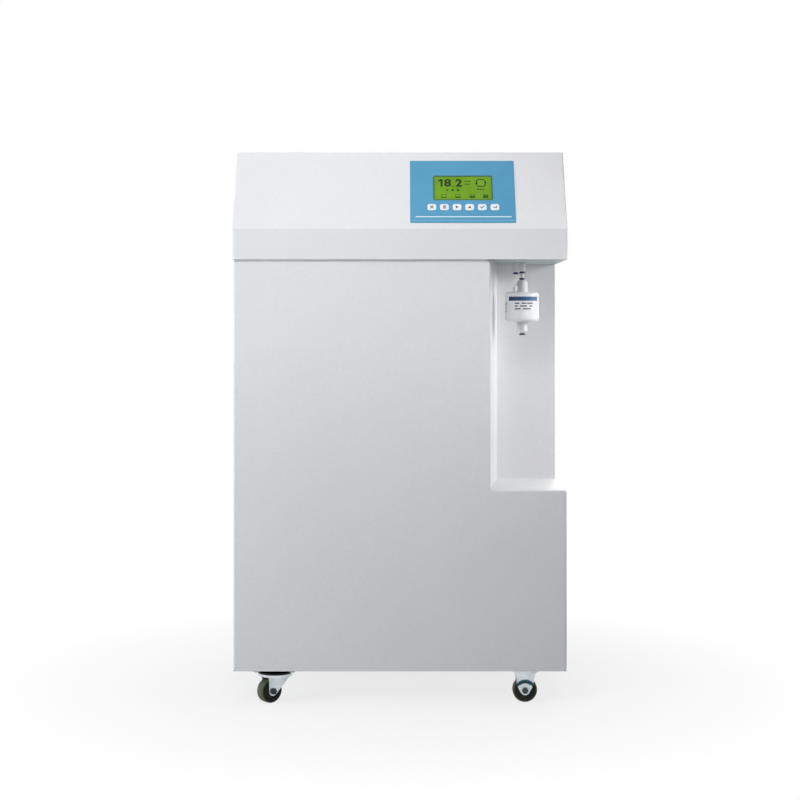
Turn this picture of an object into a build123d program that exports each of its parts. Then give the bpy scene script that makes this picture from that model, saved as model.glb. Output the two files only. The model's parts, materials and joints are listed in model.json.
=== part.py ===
from build123d import *
import math
import os

# Floor-standing laboratory water purifier: a sheet-steel cabinet on casters with a sloping control head
# and a dispensing bay cut out of its upper right front corner.
# Millimetres. X to the right, Y to the rear, Z up. The origin is on the floor under the middle of the part.

# Cabinet
WIDTH = 560.0
BODY_DEPTH = 480.0
BODY_HEIGHT = 692.0
SHEET = 1.5
LANDING = 18.0
BASE_FLANGE = 30.0
SILL_SETBACK = 1.0
OVERRUN = 2.0
FIT_GAP = 0.3

# Dispensing bay
BAY_WIDTH = 128.5
BAY_HEIGHT = 387.5
BAY_DEPTH = 210.0
BAY_FLARE = 24.0

# Front door, a folded pan that turns on two pins
DOOR_DEPTH = 16.0
DOOR_BACK_GAP = 4.0
DOOR_TOP_GAP = 1.0
DOOR_SILL_GAP = 1.0
DOOR_BEND = 3.0
DOOR_CORNER = 4.0
HINGE_INSET = 8.0
HINGE_PIN_RADIUS = 2.5
HINGE_PIN_REACH = 9.0
HINGE_FIT = 0.06
BUSH_RADIUS = 4.5
BUSH_FIT = 0.05
BUSH_COLLAR_RADIUS = 6.0
BUSH_COLLAR = 0.7
BUSH_LENGTH = 9.5
STIFFENER_SHARES = (0.3, 0.74)
STIFFENER_WIDTH = 40.0
STIFFENER_DEPTH = 9.0
STIFFENER_END_GAP = 60.0
STIFFENER_WALL = 1.2
CATCH_LENGTH = 46.0
CATCH_WIDTH = 9.0
CATCH_GAP = 0.4
CATCH_HEIGHT_SHARE = 0.5

# Control head
LIP_HEIGHT = 51.0
LIP_PROUD = 6.0
SLOPE_RUN = 80.0
SLOPE_RISE = 137.0
HEAD_PROUD = 1.0
HOOD_WALL = 2.0
HOOD_EDGE = 2.5
DECK_FLANGE = 20.0

# Control panel on the slope, measured from its own centre
PANEL_INSET = 174.0
PANEL_UP = 75.7
PANEL_WIDTH = 178.0
PANEL_HEIGHT = 128.0
PANEL_CORNER = 1.5
OVERLAY = 1.0
DISPLAY_X = 1.0
DISPLAY_UP = 7.3
DISPLAY_WIDTH = 101.0
DISPLAY_HEIGHT = 51.0
GLASS_RISE = 0.4
BEZEL_RIM = 5.0
BEZEL_DEPTH = 7.5
DISPLAY_BOARD_RIM = 3.0
BOARD = 1.6
KEY_X = 1.0
KEY_UP = -32.6
KEY_PITCH = 21.3
KEY_WIDTH = 14.6
KEY_HEIGHT = 12.6
KEY_CORNER = 3.6
KEY_PROUD = 0.6
KEY_EDGE = 0.3
KEY_TRAVEL = 0.5
KEY_SLACK = 0.1
STEM_RADIUS = 2.0
STEM_GAP = 0.4
SWITCH_SIDE = 6.0
SWITCH_HEIGHT = 4.3
BOARD_DROP = 9.5
BOARD_WIDTH = 150.0
BOARD_HEIGHT = 17.5
BOARD_POST_RADIUS = 2.5
BOARD_POST_INSET = 5.0
KEY_NAMES = ("escape", "menu", "right", "up", "confirm", "return")

# Push-in tube fittings
TUBE_RADIUS = 3.175
TUBE_WALL = 1.1
TUBE_FIT = 0.08
TUBE_STOP_GAP = 0.3
FITTING_RADIUS = 6.0
FITTING_BODY = 16.5
FITTING_RIM = 1.0
FITTING_SHANK_RADIUS = 5.0
FITTING_SHANK = 13.0
FITTING_NUT_RADIUS = 8.5
FITTING_NUT = 5.0
PASSAGE_RADIUS = 2.0
TUBE_SEAT = 14.0
COLLET_RADIUS = 4.3
COLLET_FIT = 0.08
COLLET_SLEEVE = 6.0
COLLET_FLANGE_RADIUS = 5.2
COLLET_FLANGE = 2.0
COLLET_GAP = 1.5
COLLET_TRAVEL = 1.2

# Outlets under the head, set back from the door face
FILTERED_INSET = 67.0
FILTERED_BACK = 105.0
PLAIN_INSET = 75.3
PLAIN_BACK = 142.0

# Final filter capsule under the filtered outlet
TUBE_SHOWING = 8.0
INLET_TOP_RADIUS = 6.2
INLET_NECK_RADIUS = 9.6
INLET_COLLAR_RADIUS = 10.4
INLET_COLLAR = 7.0
INLET_NECK = 5.0
INLET_HEIGHT = 21.5
DOME_MIDDLE_SHARE = 0.67
CAPSULE_RADIUS = 29.0
CAPSULE_HEIGHT = 51.0
CAPSULE_EDGE = 5.0
CAPSULE_BEAD = 1.0
CAPSULE_BEAD_HEIGHT = 4.0
CAPSULE_BEAD_UP = 6.0
OUTLET_COLLAR_RADIUS = 10.4
OUTLET_COLLAR = 5.0
OUTLET_NECK_RADIUS = 7.6
OUTLET_NECK = 3.5
OUTLET_NUT_RADIUS = 9.6
OUTLET_HEIGHT = 20.0
OUTLET_RIM = 3.5

# Casters
CASTER_HEIGHT = 58.0
CASTER_INSET = 68.0
CASTER_BACK = 36.0
CASTER_YAW = 38.0
WHEEL_RADIUS = 20.7
WHEEL_WIDTH = 17.0
TREAD_EDGE = 3.0
HUB_RADIUS = 12.5
HUB_SINK = 1.6
BOSS_RADIUS = 6.5
AXLE_RADIUS = 3.0
AXLE_FIT = 0.08
AXLE_HEAD_RADIUS = 5.6
AXLE_HEAD = 3.6
PLATE_WIDTH = 74.0
PLATE_DEPTH = 54.0
PLATE = 2.2
PLATE_CORNER = 5.0
RACE_TOP_RADIUS = 29.0
RACE_RADIUS = 25.0
RACE = 3.4
KINGPIN_RADIUS = 4.0
KINGPIN_HEAD_RADIUS = 6.5
KINGPIN_HEAD = 2.0
SWIVEL_GAP = 0.35
SWIVEL_FIT = 0.08
CROWN = 2.5
CROWN_RADIUS = 29.0
CROWN_SKIRT = 4.0
CROWN_WALL = 2.0
TRAIL = 12.0
CHEEK = 2.0
CHEEK_GAP = 1.2
CHEEK_END_RADIUS = 8.0
CHEEK_FRONT = 26.0
CHEEK_CURVE = 6.0
BRACKET_TOP_HALF = 19.0
BRACKET_WAIST_HALF = 14.5
BRACKET_STEP = 3.2
BRACKET_SKIRT_UP = 9.0
BRACKET_ARC_RADIUS = 14.0
BRACKET_ARC_FLARE = 4.5
RIGID_PLATE_WIDTH = 44.0
RIGID_PLATE_DEPTH = 58.0
CASTER_BOLT_RADIUS = 2.5
CASTER_BOLT_FIT = 0.25
CASTER_BOLT_HEAD_RADIUS = 4.4
CASTER_BOLT_HEAD = 3.0
CASTER_BOLT_INSET = 7.5

# Rear panel
VENT_WIDTH = 90.0
VENT_SLOT = 5.0
VENT_PITCH = 12.0
VENT_ROWS = 9
VENT_INSET = 95.0
VENT_UP = 430.0
POWER_INSET = 68.0
POWER_UP = 90.0
POWER_WIDTH = 30.0
POWER_HEIGHT = 60.0
POWER_RIM = 3.0
POWER_FLANGE = 2.5
POWER_BODY = 30.0
SOCKET_WIDTH = 24.0
SOCKET_HEIGHT = 17.0
SOCKET_CHAMFER = 4.5
SOCKET_DEPTH = 18.0
SOCKET_UP = -13.5
BLADE_WIDTH = 2.0
BLADE_HEIGHT = 4.0
BLADE_LENGTH = 11.5
BLADE_SPREAD = 7.0
BLADE_RISE = 2.0
ROCKER_UP = 15.0
ROCKER_RADIUS = 9.2
ROCKER_WIDTH = 15.0
ROCKER_GAP = 0.35
ROCKER_SINK = 3.0
ROCKER_DISH = 2.6
ROCKER_TILT = 8.0
ROCKER_PIN_RADIUS = 1.6
ROCKER_PIN = 2.0
ROCKER_PIN_FIT = 0.08

# Treatment train inside
MOUNT_GAP = 18.0
COLUMN_COUNT = 4
COLUMN_SIDE_GAP = 12.5
COLUMN_BAY_GAP = 35.5
COLUMN_GAP = 10.0
COLUMN_HEADROOM = 190.5
COLUMN_CAP = 34.0
COLUMN_CAP_STEP = 2.0
COLUMN_CAP_RIBS = 18
COLUMN_CAP_RIB = 1.6
COLUMN_FOOT = 12.0
PORT_RADIUS = 6.0
PORT_HEIGHT = 10.0
PORT_SPREAD_SHARE = 0.5
CLIP_WALL = 2.4
CLIP_FIT = 0.05
CLIP_HEIGHT = 16.0
CLIP_FOOT_WIDTH = 24.0
CLIP_FOOT = 7.0
CLIP_MOUTH_SHARE = 0.72
CLIP_LOW_SHARE = 0.24
CLIP_HIGH_SHARE = 0.78
VESSEL_SIDE_GAP = 58.5
VESSEL_BAY_GAP = 51.5
VESSEL_DROP_SHARE = 0.446
VESSEL_RADIUS = 38.0
VESSEL_CAP = 26.0
VESSEL_CAP_STEP = 3.0
VESSEL_CLIP_SPREAD_SHARE = 0.28
SIDE_PORT_SHARE = 0.36
TOP_PORT_INSET = 20.0
PUMP_INSET = 66.0
PUMP_BACK = 122.0
PUMP_FOOT_RADIUS = 7.0
PUMP_FOOT = 9.0
PUMP_BASE_WIDTH = 84.0
PUMP_BASE_DEPTH = 62.0
PUMP_BASE = 3.0
PUMP_MOTOR_RADIUS = 37.0
PUMP_MOTOR = 82.0
PUMP_SADDLE_WIDTH = 40.0
PUMP_HEAD_RADIUS = 34.0
PUMP_HEAD = 44.0
PUMP_HEAD_RIBS = 8
PUMP_HEAD_RIB = 3.0
PUMP_PORT_RADIUS = 6.5
PUMP_PORT = 9.0
VALVE_INSET = 90.0
VALVE_DROP = 58.5
VALVE_WIDTH = 34.0
VALVE_HEIGHT = 24.0
VALVE_DEPTH = 30.0
VALVE_COIL_RADIUS = 15.0
VALVE_COIL = 30.0
SUPPLY_INSET = 66.0
SUPPLY_LOW_SHARE = 0.5
SUPPLY_WIDTH = 104.0
SUPPLY_HEIGHT_SHARE = 0.36
SUPPLY_DEPTH = 40.0
SUPPLY_WALL = 1.5
SUPPLY_SLOT = 3.0
SUPPLY_SLOT_PITCH = 8.0
SUPPLY_SLOT_ROWS = 7

# Tubing inside
BEND_RADIUS = 18.0
LOOP_LIFT = 24.0
FRONT_LANE = 42.0
DOWN_LANE_INSET = 144.0
RISER_INSET = 130.0
FEED_RISER_INSET = 142.0
PERMEATE_INSET = 23.0
PERMEATE_BACK = 116.0
CROSSING_LIFT = 14.0
DELIVERY_LIFT = 74.0
HEAD_LIFT = 50.0

# Places worked out from the sizes above
HALF = WIDTH / 2
Y_LIP = -(LIP_PROUD + BODY_DEPTH + FITTING_BODY) / 2
Y_DOOR = Y_LIP + LIP_PROUD
Y_FRAME = Y_DOOR + DOOR_DEPTH + DOOR_BACK_GAP
Y_BAY = Y_DOOR + BAY_DEPTH
Y_REAR = Y_DOOR + BODY_DEPTH
Y_HEAD_REAR = Y_REAR + HEAD_PROUD
Y_MOUNT = Y_BAY + MOUNT_GAP
Z_BASE = CASTER_HEIGHT
Z_FLOOR = Z_BASE + SHEET
Z_DECK = Z_BASE + BODY_HEIGHT
Z_SHELF = Z_DECK - BAY_HEIGHT
Z_HEAD = Z_DECK + LIP_HEIGHT + SLOPE_RISE
X_BAY = HALF - BAY_WIDTH
X_PANEL = HALF - PANEL_INSET
X_FILTERED = HALF - FILTERED_INSET
X_PLAIN = HALF - PLAIN_INSET
X_CASTER = HALF - CASTER_INSET
X_VENT = -HALF + VENT_INSET
X_POWER = HALF - POWER_INSET
X_PUMP = HALF - PUMP_INSET
X_VALVE = HALF - VALVE_INSET
X_SUPPLY = HALF - SUPPLY_INSET
X_DOWN_LANE = HALF - DOWN_LANE_INSET
X_RISER = HALF - RISER_INSET
X_FEED_RISER = HALF - FEED_RISER_INSET
X_PERMEATE = -HALF + PERMEATE_INSET
HEAD_HALF = HALF + HEAD_PROUD
X_HINGE = -HALF + HINGE_INSET
Y_HINGE = Y_DOOR + DOOR_DEPTH / 2
Z_DOOR_LOW = Z_FLOOR + DOOR_SILL_GAP
Z_DOOR_HIGH = Z_DECK - DOOR_TOP_GAP
SLOPE_LENGTH = math.hypot(SLOPE_RUN, SLOPE_RISE)
PANEL_PLANE = Plane(
    origin=(
        X_PANEL,
        Y_LIP + SLOPE_RUN * PANEL_UP / SLOPE_LENGTH,
        Z_DECK + LIP_HEIGHT + SLOPE_RISE * PANEL_UP / SLOPE_LENGTH,
    ),
    x_dir=(1, 0, 0),
    z_dir=(0, -SLOPE_RISE, SLOPE_RUN),
)
KEY_PLACES = [KEY_X + (i - (len(KEY_NAMES) - 1) / 2) * KEY_PITCH for i in range(len(KEY_NAMES))]
TUBE_BORE = TUBE_RADIUS + TUBE_FIT
Y_FILTERED = Y_DOOR + FILTERED_BACK
Y_PLAIN = Y_DOOR + PLAIN_BACK
Z_MOUTH = Z_DECK - FITTING_BODY
Z_INLET = Z_MOUTH - 2 * (COLLET_GAP + COLLET_FLANGE) - TUBE_SHOWING
Z_CAPSULE = Z_INLET - INLET_HEIGHT
Z_OUTLET = Z_CAPSULE - CAPSULE_HEIGHT
Z_NOZZLE = Z_OUTLET - OUTLET_HEIGHT
COLUMN_LEFT = -HALF + SHEET + COLUMN_SIDE_GAP
COLUMN_PITCH = (X_BAY - COLUMN_BAY_GAP - COLUMN_LEFT + COLUMN_GAP) / COLUMN_COUNT
COLUMN_RADIUS = (COLUMN_PITCH - COLUMN_GAP) / 2
COLUMN_HEIGHT = Z_DECK - COLUMN_HEADROOM - Z_FLOOR
PORT_SPREAD = PORT_SPREAD_SHARE * COLUMN_RADIUS
COLUMN_WALL_RADIUS = COLUMN_RADIUS - COLUMN_CAP_STEP
Y_COLUMN = Y_MOUNT - CLIP_FOOT - CLIP_WALL - CLIP_FIT - COLUMN_WALL_RADIUS
Z_COLUMN = Z_FLOOR + COLUMN_HEIGHT
Z_PORT = Z_COLUMN + PORT_HEIGHT
COLUMN_PLACES = [COLUMN_LEFT + COLUMN_RADIUS + i * COLUMN_PITCH for i in range(COLUMN_COUNT)]
VESSEL_LEFT = -HALF + SHEET + VESSEL_SIDE_GAP
VESSEL_RIGHT = X_BAY - VESSEL_BAY_GAP
VESSEL_LENGTH = VESSEL_RIGHT - VESSEL_LEFT
X_VESSEL = (VESSEL_LEFT + VESSEL_RIGHT) / 2
X_TOP_PORT = VESSEL_RIGHT - TOP_PORT_INSET
Y_VESSEL = Y_MOUNT - CLIP_FOOT - CLIP_WALL - CLIP_FIT - VESSEL_RADIUS
Y_VESSEL_PORT = Y_VESSEL + VESSEL_RADIUS + VESSEL_CAP_STEP
Z_VESSEL = Z_DECK - VESSEL_DROP_SHARE * COLUMN_HEADROOM
VESSEL_PORTS = [X_VESSEL - SIDE_PORT_SHARE * VESSEL_LENGTH, X_VESSEL + SIDE_PORT_SHARE * VESSEL_LENGTH]
Z_VALVE = Z_SHELF - VALVE_DROP
SUPPLY_SPACE = Z_VALVE - VALVE_HEIGHT / 2 - Z_FLOOR
SUPPLY_HEIGHT = SUPPLY_HEIGHT_SHARE * SUPPLY_SPACE
Z_SUPPLY = Z_FLOOR + SUPPLY_LOW_SHARE * SUPPLY_SPACE
Y_PUMP = Y_DOOR + PUMP_BACK
Y_PUMP_PORT = Y_PUMP - PUMP_MOTOR / 2 - PUMP_HEAD / 2
Z_PUMP = Z_FLOOR + PUMP_FOOT + PUMP_BASE + PUMP_MOTOR_RADIUS
Z_POWER = Z_BASE + POWER_UP
CASTER_ROWS = {"front": Y_DOOR + CASTER_BACK, "rear": Y_REAR - CASTER_BACK}
CASTER_TURNS = {"front": CASTER_YAW, "rear": CASTER_YAW / 2}
Z_CROWN = CASTER_HEIGHT - PLATE - RACE - SWIVEL_GAP - CROWN
CHEEK_INNER = WHEEL_WIDTH / 2 + CHEEK_GAP
CHEEK_OUTER = CHEEK_INNER + CHEEK


# Shared shapes


def block(x0, x1, y0, y1, z0, z1):
    """Box between two corners."""
    return Pos((x0 + x1) / 2, (y0 + y1) / 2, (z0 + z1) / 2) * Box(x1 - x0, y1 - y0, z1 - z0)


def rod(radius, z0, z1, x=0, y=0):
    """Upright cylinder between two heights."""
    return Pos(x, y, (z0 + z1) / 2) * Cylinder(radius, z1 - z0)


def rod_y(radius, y0, y1, x, z):
    """Cylinder along Y between two depths."""
    return Pos(x, (y0 + y1) / 2, z) * (Rot(90, 0, 0) * Cylinder(radius, y1 - y0))


def rod_x(radius, x0, x1, y, z):
    """Cylinder along X between two places."""
    return Pos((x0 + x1) / 2, y, z) * (Rot(0, 90, 0) * Cylinder(radius, x1 - x0))


def turned(outline):
    """Solid turned about Z from its radii and heights."""
    points = [(r, 0, z) for r, z in outline]
    return revolve(make_face(Polyline(*points, close=True)), Axis.Z)


def rounded_plate(width, height, corner, z0, z1):
    """Flat plate with round corners, on the XY plane between two heights."""
    return Pos(0, 0, z0) * extrude(RectangleRounded(width, height, corner), z1 - z0)


def hexagon(radius, z0, z1):
    """Upright hexagonal prism."""
    return Pos(0, 0, z0) * extrude(RegularPolygon(radius, 6), z1 - z0)


def bent_sheet(path, thickness):
    """Face of a folded sheet: a path of points and its parallel, one thickness to the left."""
    points = [Vector(*p) for p in path]
    runs = [(b - a).normalized() for a, b in zip(points, points[1:])]
    runs = [runs[0], *runs, runs[-1]]
    parallel = []
    for point, before, after in zip(points, runs, runs[1:]):
        bisector = (before + after).normalized()
        left = Vector(-bisector.Y, bisector.X)
        reach = thickness / bisector.dot(before)
        parallel.append(point + left * reach)
    return make_face(Polyline(*points, *reversed(parallel), close=True))


def mirrored_pair(make, offset):
    """Two copies of a shape, one each side of the XZ plane."""
    shape = make(offset)
    return [shape, mirror(shape, Plane.XZ)]


# Cabinet shell


def base_pan():
    """Floor tray with folded edges, a sill under the door and holes for the caster bolts."""
    side = HALF - SHEET
    front = Y_FRAME + SHEET
    tray = block(-side, side, front, Y_REAR - SHEET, Z_BASE, Z_BASE + BASE_FLANGE)
    top = Z_BASE + BASE_FLANGE + OVERRUN
    tray -= block(-side + SHEET, side - SHEET, front + SHEET, Y_REAR - 2 * SHEET, Z_FLOOR, top)
    tray += block(-HALF, HALF, Y_DOOR + SILL_SETBACK, Y_FRAME, Z_BASE, Z_FLOOR)
    tray += block(-side, side, Y_FRAME, front, Z_BASE, Z_FLOOR)
    for x, y in caster_bolt_places():
        tray -= rod(CASTER_BOLT_RADIUS + CASTER_BOLT_FIT, Z_BASE - OVERRUN, Z_FLOOR + OVERRUN, x, y)
    return tray


def left_side_panel():
    """Side sheet with a folded front edge that the door closes on."""
    path = [(-HALF, Y_REAR), (-HALF, Y_FRAME), (-HALF + LANDING, Y_FRAME)]
    lower = extrude(bent_sheet(path, SHEET), Z_DECK - Z_FLOOR)
    return Pos(0, 0, Z_FLOOR) * lower + block(-HALF, -HALF + SHEET, Y_FRAME, Y_REAR, Z_BASE, Z_FLOOR)


def right_side_panel():
    """Side sheet cut away at the dispensing bay, with a folded front edge below it."""
    path = [(HALF - LANDING, Y_FRAME), (HALF, Y_FRAME), (HALF, Y_REAR)]
    lower = Pos(0, 0, Z_FLOOR) * extrude(bent_sheet(path, SHEET), Z_SHELF - SHEET - Z_FLOOR)
    foot = block(HALF - SHEET, HALF, Y_FRAME, Y_REAR, Z_BASE, Z_FLOOR)
    upper = block(HALF - SHEET, HALF, Y_BAY + SHEET, Y_REAR, Z_SHELF - SHEET, Z_DECK)
    return lower + foot + upper


def rear_panel():
    """Back sheet with vent slots and the openings of its connectors."""
    side = HALF - SHEET
    sheet = block(-side, side, Y_REAR - SHEET, Y_REAR, Z_BASE, Z_DECK)
    slot = Rot(90, 0, 0) * extrude(SlotOverall(VENT_WIDTH, VENT_SLOT), SHEET + OVERRUN, both=True)
    for row in range(VENT_ROWS):
        sheet -= Pos(X_VENT, Y_REAR, Z_BASE + VENT_UP + row * VENT_PITCH) * slot
    for x, z in rear_fitting_places().values():
        sheet -= rod_y(FITTING_SHANK_RADIUS + FIT_GAP, Y_REAR - SHEET - OVERRUN, Y_REAR + OVERRUN, x, z)
    half_wide = POWER_WIDTH / 2 - POWER_RIM
    half_high = POWER_HEIGHT / 2 - POWER_RIM
    sheet -= block(
        X_POWER - half_wide - FIT_GAP,
        X_POWER + half_wide + FIT_GAP,
        Y_REAR - SHEET - OVERRUN,
        Y_REAR + OVERRUN,
        Z_POWER - half_high - FIT_GAP,
        Z_POWER + half_high + FIT_GAP,
    )
    return sheet


def bay_liner():
    """Folded lining of the dispensing bay: a flared left wall, the back wall and the shelf."""
    corner = X_BAY + BAY_FLARE
    path = [(X_BAY - LANDING, Y_FRAME), (X_BAY, Y_FRAME), (corner, Y_BAY), (HALF, Y_BAY)]
    walls = Pos(0, 0, Z_SHELF - SHEET) * extrude(bent_sheet(path, SHEET), Z_DECK - Z_SHELF + SHEET)
    floor = [(X_BAY, Y_FRAME), (corner, Y_BAY), (HALF, Y_BAY), (HALF, Y_FRAME)]
    shelf = Pos(0, 0, Z_SHELF - SHEET) * extrude(make_face(Polyline(*floor, close=True)), SHEET)
    low = Z_SHELF - LANDING
    apron = block(X_BAY - LANDING, HALF - LANDING, Y_FRAME, Y_FRAME + SHEET, low, Z_SHELF - SHEET)
    return walls + shelf + apron


def mounting_plate():
    """Upright inner wall that carries the treatment train, with a folded head and tube holes."""
    side = HALF - 2 * SHEET
    plate = block(-side, side, Y_MOUNT, Y_MOUNT + SHEET, Z_FLOOR, Z_DECK)
    plate += block(-side, side, Y_MOUNT, Y_MOUNT + LANDING, Z_DECK - SHEET, Z_DECK)
    for x, z in rear_fitting_places().values():
        plate -= rod_y(TUBE_RADIUS + FIT_GAP, Y_MOUNT - OVERRUN, Y_MOUNT + SHEET + OVERRUN, x, z)
    return plate


# Door


def door_outline():
    """Front view of the door: a tall leaf with a foot under the dispensing bay."""
    points = [
        (-HALF, 0, Z_DOOR_LOW),
        (HALF, 0, Z_DOOR_LOW),
        (HALF, 0, Z_SHELF),
        (X_BAY, 0, Z_SHELF),
        (X_BAY, 0, Z_DOOR_HIGH),
        (-HALF, 0, Z_DOOR_HIGH),
    ]
    return make_face(Polyline(*points, close=True))


def door_block(inset, back):
    """The door's filled form, drawn in by one sheet for its hollow, from the face to a given depth."""
    solid = extrude(door_outline(), BODY_DEPTH, dir=(0, 1, 0))
    corners = solid.edges().filter_by(Axis.Y)
    solid = fillet(corners, DOOR_CORNER)
    if inset:
        solid = offset(solid, -inset)
    front = solid.bounding_box().min.Y
    solid = fillet(solid.edges().filter_by_position(Axis.Y, front, front), DOOR_BEND - inset)
    solid = Pos(0, Y_DOOR, 0) * solid
    return solid & block(-WIDTH, WIDTH, Y_DOOR - OVERRUN, back, 0, Z_HEAD)


def front_door():
    """Folded pan door with bush holes in its top and bottom edges and two stiffeners inside."""
    back = Y_DOOR + DOOR_DEPTH
    pan = door_block(0, back) - door_block(SHEET, back + OVERRUN)
    inner = Y_DOOR + SHEET
    half = STIFFENER_WIDTH / 2
    low = Z_DOOR_LOW + STIFFENER_END_GAP
    high = Z_DOOR_HIGH - STIFFENER_END_GAP
    hollow = half - STIFFENER_WALL
    for share in STIFFENER_SHARES:
        x = -HALF + share * (X_BAY + HALF)
        hat = block(x - half, x + half, inner, inner + STIFFENER_DEPTH, low, high)
        hat -= block(x - hollow, x + hollow, inner, inner + STIFFENER_DEPTH - STIFFENER_WALL, 0, Z_HEAD)
        pan += hat
    for edge in (Z_DOOR_LOW, Z_DOOR_HIGH):
        pan -= rod(BUSH_RADIUS + BUSH_FIT, edge - SHEET - OVERRUN, edge + SHEET + OVERRUN, X_HINGE, Y_HINGE)
    return pan


def door_hinge_bushes():
    """Nylon bushes in the door's top and bottom edges, their collars outside as thrust washers."""
    bore = HINGE_PIN_RADIUS + HINGE_FIT
    outline = [
        (bore, -BUSH_COLLAR),
        (BUSH_COLLAR_RADIUS, -BUSH_COLLAR),
        (BUSH_COLLAR_RADIUS, 0),
        (BUSH_RADIUS, 0),
        (BUSH_RADIUS, BUSH_LENGTH),
        (bore, BUSH_LENGTH),
    ]
    bush = turned(outline)
    lower = Pos(X_HINGE, Y_HINGE, Z_DOOR_LOW) * bush
    upper = Pos(X_HINGE, Y_HINGE, Z_DOOR_HIGH) * (Rot(180, 0, 0) * bush)
    return Compound([lower, upper])


def door_hinge_pins():
    """Upper pin riveted to the deck and lower pin riveted to the sill."""
    lower = rod(HINGE_PIN_RADIUS, Z_FLOOR, Z_FLOOR + DOOR_SILL_GAP + HINGE_PIN_REACH, X_HINGE, Y_HINGE)
    upper = rod(HINGE_PIN_RADIUS, Z_DECK - DOOR_TOP_GAP - HINGE_PIN_REACH, Z_DECK, X_HINGE, Y_HINGE)
    return Compound([lower, upper])


def door_catches():
    """Magnet blocks on the landing flanges, one beside the bay and one below it."""
    reach = DOOR_DEPTH + DOOR_BACK_GAP - SHEET - CATCH_GAP
    magnet = Pos(0, Y_FRAME - reach / 2, 0) * Box(CATCH_WIDTH, reach, CATCH_LENGTH)
    beside = Pos(X_BAY - LANDING / 2, 0, Z_SHELF + CATCH_HEIGHT_SHARE * BAY_HEIGHT) * magnet
    below = Pos(HALF - LANDING / 2, 0, Z_BASE + CATCH_HEIGHT_SHARE * (Z_SHELF - Z_BASE)) * magnet
    return Compound([beside, below])


# Control head


def head_cover():
    """Hood with an upright lip and a sloping face, open below, pierced for the display and the keys."""
    points = [
        (0, Y_LIP, Z_DECK),
        (0, Y_LIP, Z_DECK + LIP_HEIGHT),
        (0, Y_LIP + SLOPE_RUN, Z_HEAD),
        (0, Y_HEAD_REAR, Z_HEAD),
        (0, Y_HEAD_REAR, Z_DECK),
    ]
    profile = make_face(Polyline(*points, close=True))
    solid = extrude(profile, HEAD_HALF, dir=(1, 0, 0), both=True)
    solid = fillet([e for e in solid.edges() if e.center().Z > Z_DECK + OVERRUN], HOOD_EDGE)
    hood = offset(solid, -HOOD_WALL, openings=solid.faces().sort_by(Axis.Z)[0])
    window = Box(DISPLAY_WIDTH, DISPLAY_HEIGHT, 2 * (HOOD_WALL + OVERRUN))
    hood -= PANEL_PLANE * (Pos(DISPLAY_X, DISPLAY_UP, 0) * window)
    for x in KEY_PLACES:
        hood -= PANEL_PLANE * (
            Pos(x, KEY_UP, 0) * Cylinder(STEM_RADIUS + STEM_GAP, 2 * (HOOD_WALL + OVERRUN))
        )
    return hood


def top_deck():
    """Tray that closes the cabinet, carries the head and holds the outlets above the bay."""
    side = HEAD_HALF - HOOD_WALL - FIT_GAP
    front = Y_LIP + HOOD_WALL + FIT_GAP
    rear = Y_HEAD_REAR - HOOD_WALL - FIT_GAP
    tray = block(-side, side, front, rear, Z_DECK, Z_DECK + DECK_FLANGE)
    top = Z_DECK + DECK_FLANGE + OVERRUN
    tray -= block(-side + SHEET, side - SHEET, front + SHEET, rear - SHEET, Z_DECK + SHEET, top)
    for x, y in ((X_FILTERED, Y_FILTERED), (X_PLAIN, Y_PLAIN)):
        tray -= rod(FITTING_SHANK_RADIUS + FIT_GAP, Z_DECK - OVERRUN, Z_DECK + SHEET + OVERRUN, x, y)
    for x, y in ((port(3, 1).X, Y_FILTERED), (X_TOP_PORT, Y_VESSEL)):
        tray -= rod(TUBE_RADIUS + FIT_GAP, Z_DECK - OVERRUN, Z_DECK + SHEET + OVERRUN, x, y)
    return tray


def keypad_overlay():
    """Membrane plate with openings for the display and the keys."""
    plate = rounded_plate(PANEL_WIDTH, PANEL_HEIGHT, PANEL_CORNER, 0, OVERLAY)
    plate -= Pos(DISPLAY_X, DISPLAY_UP, 0) * Box(DISPLAY_WIDTH, DISPLAY_HEIGHT, 2 * (OVERLAY + OVERRUN))
    width = KEY_WIDTH + 2 * FIT_GAP
    height = KEY_HEIGHT + 2 * FIT_GAP
    hole = rounded_plate(width, height, KEY_CORNER + FIT_GAP, -OVERRUN, OVERLAY + OVERRUN)
    for x in KEY_PLACES:
        plate -= Pos(x, KEY_UP, 0) * hole
    return PANEL_PLANE * plate


def display_module():
    """Display glass in the hood's window, on its bezel and circuit board."""
    glass_low = -HOOD_WALL
    glass = Box(DISPLAY_WIDTH - 2 * FIT_GAP, DISPLAY_HEIGHT - 2 * FIT_GAP, GLASS_RISE - glass_low)
    module = Pos(0, 0, (GLASS_RISE + glass_low) / 2) * glass
    bezel = Box(DISPLAY_WIDTH + 2 * BEZEL_RIM, DISPLAY_HEIGHT + 2 * BEZEL_RIM, BEZEL_DEPTH)
    module += Pos(0, 0, glass_low - BEZEL_DEPTH / 2) * bezel
    board = Box(DISPLAY_WIDTH + 2 * DISPLAY_BOARD_RIM, DISPLAY_HEIGHT + 2 * DISPLAY_BOARD_RIM, BOARD)
    module += Pos(0, 0, glass_low - BEZEL_DEPTH - BOARD / 2) * board
    return PANEL_PLANE * (Pos(DISPLAY_X, DISPLAY_UP, 0) * module)


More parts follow.
